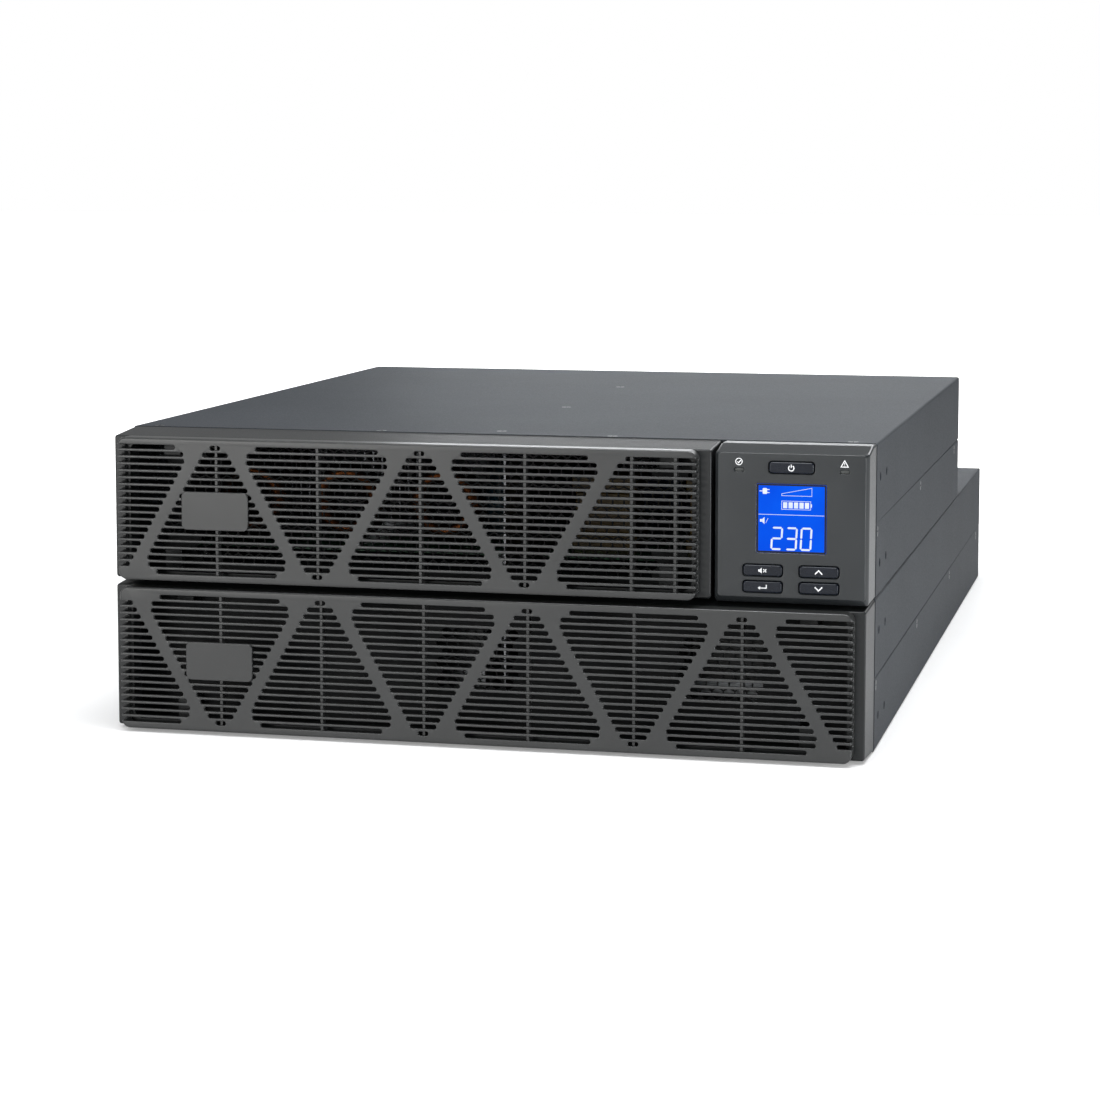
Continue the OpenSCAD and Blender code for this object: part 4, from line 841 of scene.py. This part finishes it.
def hex_holes(x0, x1, z0, z1, kept_clear):
    """Hexagons in staggered rows whose middles fill a rectangle, without those that reach into kept_clear boxes."""
    rise = HEX_PITCH * math.sqrt(3) / 2
    columns, rows = int((x1 - x0) / HEX_PITCH - 0.5) + 1, int((z1 - z0) / rise) + 1
    column, row = (index.ravel() for index in np.meshgrid(np.arange(columns), np.arange(rows)))
    x = (x0 + x1) / 2 + (column - (columns - 0.5) / 2 + 0.25 + (row % 2 - 0.5) / 2) * HEX_PITCH
    z = (z0 + z1) / 2 + (row - (rows - 1) / 2) * rise
    open_at = np.ones(len(x), bool)
    for a, b, c, d in kept_clear:
        margin = HEX_REACH + 1.2
        open_at &= ~((x > a - margin) & (x < b + margin) & (z > c - margin) & (z < d + margin))
    corner = np.radians(np.arange(30, 390, 60))
    ring = HEX_REACH * np.stack([np.cos(corner), np.sin(corner)], 1)
    return list(np.stack([x, z], 1)[open_at][:, None] + ring)


def make_front_panel(kind, fields, opening=None):
    """A sheet punched with staggered hexagons, slots for the bezel's tongues and, on the power unit, the opening of
    the display's dock, with a flange folded back at its top and its foot."""
    low, high = box_mm(kind + "_front_panel")
    wide, tall = CLIP_ROOM
    boxes = [(x - wide, x + wide, z - tall, z + tall) for x, z, _ in tongues(kind)] + ([opening] if opening else [])
    holes = [rounded_loop(*box, 0.4, 2) for box in boxes]
    for field in fields:
        holes += hex_holes(*field, boxes)
    outline = rounded_loop(low[0], high[0], low[2], high[2], 0.4, 2)
    parts = [flat_slab(outline, holes, low[1], STEEL, 0)]
    for z0, z1, y1 in ((high[2] - STEEL, high[2], high[1]), (low[2], low[2] + STEEL, low[1] + 12)):
        parts += rounded_block(low[0] + 0.1, high[0] - 0.1, z0 + 0.01, z1 - 0.01, low[1] + STEEL - OVERLAP, y1,
                               0.2, 0.15)
    name = kind + "_punched_panel"
    put(name, parts, "black_steel", "chassis", [kind + "_front_panel"], weld=False)


# -------------------- fans, guards and the rest of the rear

def circle(x, z, radius, y, steps=10):
    """A circle in X and Z at the depth y, anticlockwise seen from the front."""
    return at_depth(rounded_loop(x - radius, x + radius, z - radius, z + radius, radius, steps), y)


def lathe(x, z, pairs, steps=10):
    """A solid turned about the line through x and z along Y, from (radius, y) pairs given from back to front."""
    return solid([circle(x, z, radius, y, steps) for radius, y in pairs])


def wire_ring(x, z, y, radius, wire, around=56, section=10):
    """A torus: a circle of radius wire carried round a circle of the given radius."""
    turn = np.linspace(0, 2 * math.pi, around, endpoint=False)[:, None]
    roll = np.linspace(0, 2 * math.pi, section, endpoint=False)[None, :]
    reach = radius + wire * np.cos(roll)
    rings = np.stack([x + reach * np.cos(turn), y + wire * np.sin(roll) + 0 * turn, z + reach * np.sin(turn)], -1)
    return sweep(list(rings), closed=True)


def spoke(x, z, y, angle, start, end, wire, section=10):
    """A straight wire in the plane at y, from radius start to end, its ends rounded by smaller circles."""
    roll = np.linspace(0, 2 * math.pi, section, endpoint=False)
    rings = []
    for along, share in ((start, 0.4), (start + 0.3, 1), (end - 0.3, 1), (end, 0.4)):
        side = wire * share * np.cos(roll)
        rings.append(np.stack([x + along * math.cos(angle) - side * math.sin(angle), y + wire * share * np.sin(roll),
                               z + along * math.sin(angle) + side * math.cos(angle)], 1))
    return solid(rings)


def pan_head(x, z, y, radius, height):
    """A domed screw head turned about Y, with its flat underside at y and its crown behind: a quarter ellipse."""
    turn = np.linspace(0, math.pi / 2, 6)
    rise = [(radius * math.cos(t) * 0.75 + radius * 0.25, y + height * math.sin(t)) for t in turn]
    return lathe(x, z, rise[::-1] + [(radius, y - 0.01)], 6)


def fan_middles():
    """Where the two fans' axes stand in X, and their height."""
    low, high = box_mm("fan_frames")
    half = (high[2] - low[2]) / 2
    return low[0] + half, high[0] - half, low[2] + half


def make_guards():
    """Wire guards over the fans: four rings and four spokes on screws with domed heads."""
    panel = box_mm("ups_rear_panel")[1][1]
    left_x, right_x, z = fan_middles()
    y = panel + GUARD_WIRE
    for name, x in (("left_guard", left_x), ("right_guard", right_x)):
        parts = [wire_ring(x, z, y, radius, GUARD_WIRE) for radius in GUARD_RINGS]
        for k in range(4):
            angle = math.radians(45 + 90 * k)
            parts += spoke(x, z, y, angle, 9, FAN_BOLT * math.sqrt(2) - 2.5, GUARD_WIRE)
            cx = x + FAN_BOLT * (1 if math.cos(angle) > 0 else -1)
            cz = z + FAN_BOLT * (1 if math.sin(angle) > 0 else -1)
            parts += pan_head(cx, cz, panel + 0.02, 3.6, 1.95)
            parts += lathe(cx, cz, [(1.75, panel + 0.02), (1.75, panel - 11.2)], 4)
        put(name, parts, "zinc_steel", "chassis", ["fan_guards"], turn_out=True)


def fan_blade(x, z, middle, angle):
    """One swept blade: an aerofoil section carried outwards. Its chord grows a little and its pitch falls from root
    to tip, at radius r it is wrapped on the cylinder of that radius, and it leans forward with the square of the
    share of its length."""
    out = np.linspace(0, 1, 9)[:, None]
    turn = np.linspace(0, 2 * math.pi, 20, endpoint=False)[None, :]
    radius = HUB_R - 1 + (BLADE_R - HUB_R + 1) * out
    pitch = np.radians(44 - 16 * out)
    chord = 18.5 + 2 * out
    run = chord / 2 * np.cos(turn)
    camber = 1.3 * (1 - np.cos(turn) ** 2)
    thick = (1.1 - 0.5 * out) * np.sin(turn) * (1.15 - 0.35 * np.cos(turn)) / 1.5 + camber
    side = run * np.cos(pitch) - thick * np.sin(pitch)
    depth = run * np.sin(pitch) + thick * np.cos(pitch)
    at_angle = angle + 0.35 * out ** 2 + side / radius
    return solid(list(np.stack([x + radius * np.cos(at_angle), middle + depth + 0 * out,
                                z + radius * np.sin(at_angle)], -1)))


def make_rotors():
    """Fan rotors: a moulded hub with rounded edges, its shaft, and seven swept blades."""
    left_x, right_x, z = fan_middles()
    for name, node, body, x in (("left_rotor", "fan_rotor_left", "left_fan", left_x),
                                ("right_rotor", "fan_rotor_right", "right_fan", right_x)):
        low, high = box_mm(node)
        front, hub_end = low[1], low[1] + HUB_LENGTH
        edge = [(HUB_R - inset, hub_end - d) for inset, d in quarter(2.0)][::-1]
        parts = lathe(x, z, edge + [(HUB_R, front + 1), (HUB_R - 0.3, front + 0.3), (HUB_R - 1, front)])
        parts += lathe(x, z, [(SHAFT_R, high[1]), (SHAFT_R, hub_end - OVERLAP)], 4)
        for k in range(BLADES):
            parts += fan_blade(x, z, front + HUB_LENGTH / 2, 2 * math.pi * k / BLADES)
        put(name, parts, "black_plastic", body, [node], turn_out=True)


def make_port_inserts():
    """Black inserts down in the three ports' shells, with nine pins in the widest and a tongue in the middle one."""
    low, high = box_mm("comm_ports")
    face, middle = high[1], low[2] + 1.5 + PORTS[0][2] / 2
    inserts, pins = [], []
    for x, wide, tall, depth in PORTS:
        wide, tall = wide / 2 - PORT_WALL, tall / 2 - PORT_WALL
        inserts += rounded_block(low[0] + x - wide, low[0] + x + wide, middle - tall, middle + tall, face - 9.9,
                                 face - depth, 0.8, 0.3)
    for row, count in ((1.4, 5), (-1.4, 4)):
        for k in range(count):
            pins += lathe(low[0] + PORTS[0][0] + 2.8 * (k - (count - 1) / 2), middle + row,
                          [(0.2, face - 0.9), (0.5, face - 1.2), (0.5, face - 2.6)], 2)
    x = low[0] + PORTS[1][0]
    inserts += rounded_block(x - 2.8, x + 2.8, middle - 1.6, middle + 1.6, face - 9.0, face - 1.5, 0.4, 0.3)
    put("port_inserts", inserts, "black_plastic", "chassis", turn_out=True)
    put("port_pins", pins, "port_metal", "chassis", turn_out=True)


def make_ear_nuts():
    """Blind nuts behind the rack ears' holes: a collar turned about X, its bore closed at the inner end."""
    parts = []
    for tray in ("ups_base_tray", "pack_base_tray"):
        low, high = box_mm(tray)
        for side, y, z in ((side, y, z) for side in (-1, 1) for y in EAR_Y for z in EAR_Z):
            for points, faces in lathe(0, 0, [(3.5, 4), (3.5, 0), (2.0, 0), (2.0, 3.2)], 5):
                spot = np.stack([side * (high[0] - STEEL - 0.05 - points[:, 1]), low[1] + y + points[:, 0],
                                 low[2] + z + points[:, 2]], 1)
                parts.append((spot, faces))
    put("ear_nuts", parts, "zinc_steel", "chassis", turn_out=True)


def make_option_card():
    """The option card: a steel bracket with rounded corners, its board with edge contacts, and two thumbscrews."""
    low, high = box_mm("option_card")
    rails = box_mm("card_rails")
    panel = box_mm("ups_rear_panel")[1][1]
    (x, _, screw_z), face = middle_mm("option_card"), panel + 0.2
    bracket = flat_slab(rounded_loop(low[0], high[0], low[2], high[2], 1.5, 4), [], face, STEEL, 0)
    put("card_bracket", [bracket], "painted_steel", "card", ["option_card"])
    z = (rails[0][2] + rails[1][2]) / 2
    board = rounded_block(x - 28, x + 28, z - 0.8, z + 0.8, low[1], face + 0.1, 0.2, 0.1)
    for k in range(4):
        board += rounded_block(x - 20 + 11 * k, x - 12 + 11 * k, z + 0.7, z + 3.2, low[1] + 30, low[1] + 46, 0.3, 0.2)
    put("card_board", board, "circuit_board", "card", weld=False)
    screws = []
    for side in (-1, 1):
        cx, cz = x + side * CARD_SCREW, screw_z
        ridge = np.concatenate([[2.6, 2.3] for _ in range(20)])
        turn = np.linspace(0, 2 * math.pi, 40, endpoint=False)
        knurl = np.stack([ridge * np.cos(turn), ridge * np.sin(turn)], 1)
        rings = [at_depth(knurl * share + (cx, cz), y) for share, y in
                 ((0.8, high[1]), (1, high[1] - 0.6), (1, face + STEEL + 1.4), (0.8, face + STEEL + 0.8),
                  (0.8, face + STEEL))]
        screws += solid(rings)
    put("card_thumbscrews", screws, "zinc_steel", "card", turn_out=True)


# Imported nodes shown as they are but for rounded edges: node, body, rounding in mm.
EASED = (
    ("terminal_cover", "chassis", 0.8), ("terminal_block", "chassis", 0.4), ("pack_connectors", "chassis", 0.6),
    ("battery_socket", "chassis", 0.4), ("comm_ports", "chassis", 0.3), ("input_breaker_body", "chassis", 0.5),
    ("pack_breaker_body", "chassis", 0.5), ("input_breaker_toggle", "input_toggle", 0.4),
    ("pack_breaker_toggle", "pack_toggle", 0.4), ("fan_frames", "chassis", 0.4), ("display_dock", "chassis", 0.5),
    ("display_back_cover", "display", 0.5), ("display_board", "display", 0.15), ("heatsinks", "chassis", 0.3),
    ("bus_capacitors", "chassis", 1.0), ("transformers", "chassis", 0.8), ("relays", "chassis", 0.6),
    ("battery_blocks_left", "chassis", 1.5), ("battery_blocks_right", "chassis", 1.5),
    ("battery_tray_left", "chassis", 0.3), ("battery_tray_right", "chassis", 0.3), ("card_rails", "chassis", 0.3),
    ("battery_links", "chassis", 0.3), ("ups_cover_screws", "chassis", 0.12), ("pack_cover_screws", "chassis", 0.12),
)



def main():
    """Camera and studio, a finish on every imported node, and then the pieces that stand for the nodes that show."""
    make_camera()
    make_studio()
    for row in frame["record"]["subparts"]:
        mesh = frame["nodes"][row["node"]].data
        mesh.materials.clear()
        mesh.materials.append(MATERIALS[row["material_slot"]])
    make_grille("ups", box_mm("ups_grille")[0][0] + FIRST_RIB, True, True)
    make_grille("pack", middle_mm("pack_badge_plate")[0], False, False)
    for kind, right_taper in (("ups", 0.0), ("pack", 0.8)):
        make_bezel_frame(kind, right_taper)
    for kind in ("ups", "pack"):
        make_badge(kind)
    make_display()
    make_keys()
    make_lamps()
    make_screen()
    make_marks()
    for node in ("ups_base_tray", "pack_base_tray", "ups_top_cover", "pack_top_cover"):
        refined(node, "chassis", "painted_steel", 0.0, bend=1.4)
    low, high = box_mm("ups_front_panel")
    dock_low, dock_high = box_mm("display_dock")
    bezel = box_mm("ups_bezel_frame")
    make_front_panel("ups", [(low[0] + 8, bezel[1][0] - 6, low[2] + 6, high[2] - 6)],
                     (dock_low[0] + DOCK_LIP, dock_high[0] - DOCK_LIP, dock_low[2] + DOCK_LIP, dock_high[2] - DOCK_LIP))
    middle = middle_mm("pack_front_panel")[2]
    make_front_panel("pack", [(x - 22, x + 22, middle - 15, middle + 15) for x in PACK_VENTS])
    make_guards()
    make_rotors()
    make_option_card()
    make_ear_nuts()
    make_port_inserts()
    slots = {row["node"]: row["material_slot"] for row in frame["record"]["subparts"]}
    for node, body, rounding in EASED:
        refined(node, body, slots[node], rounding)


main()
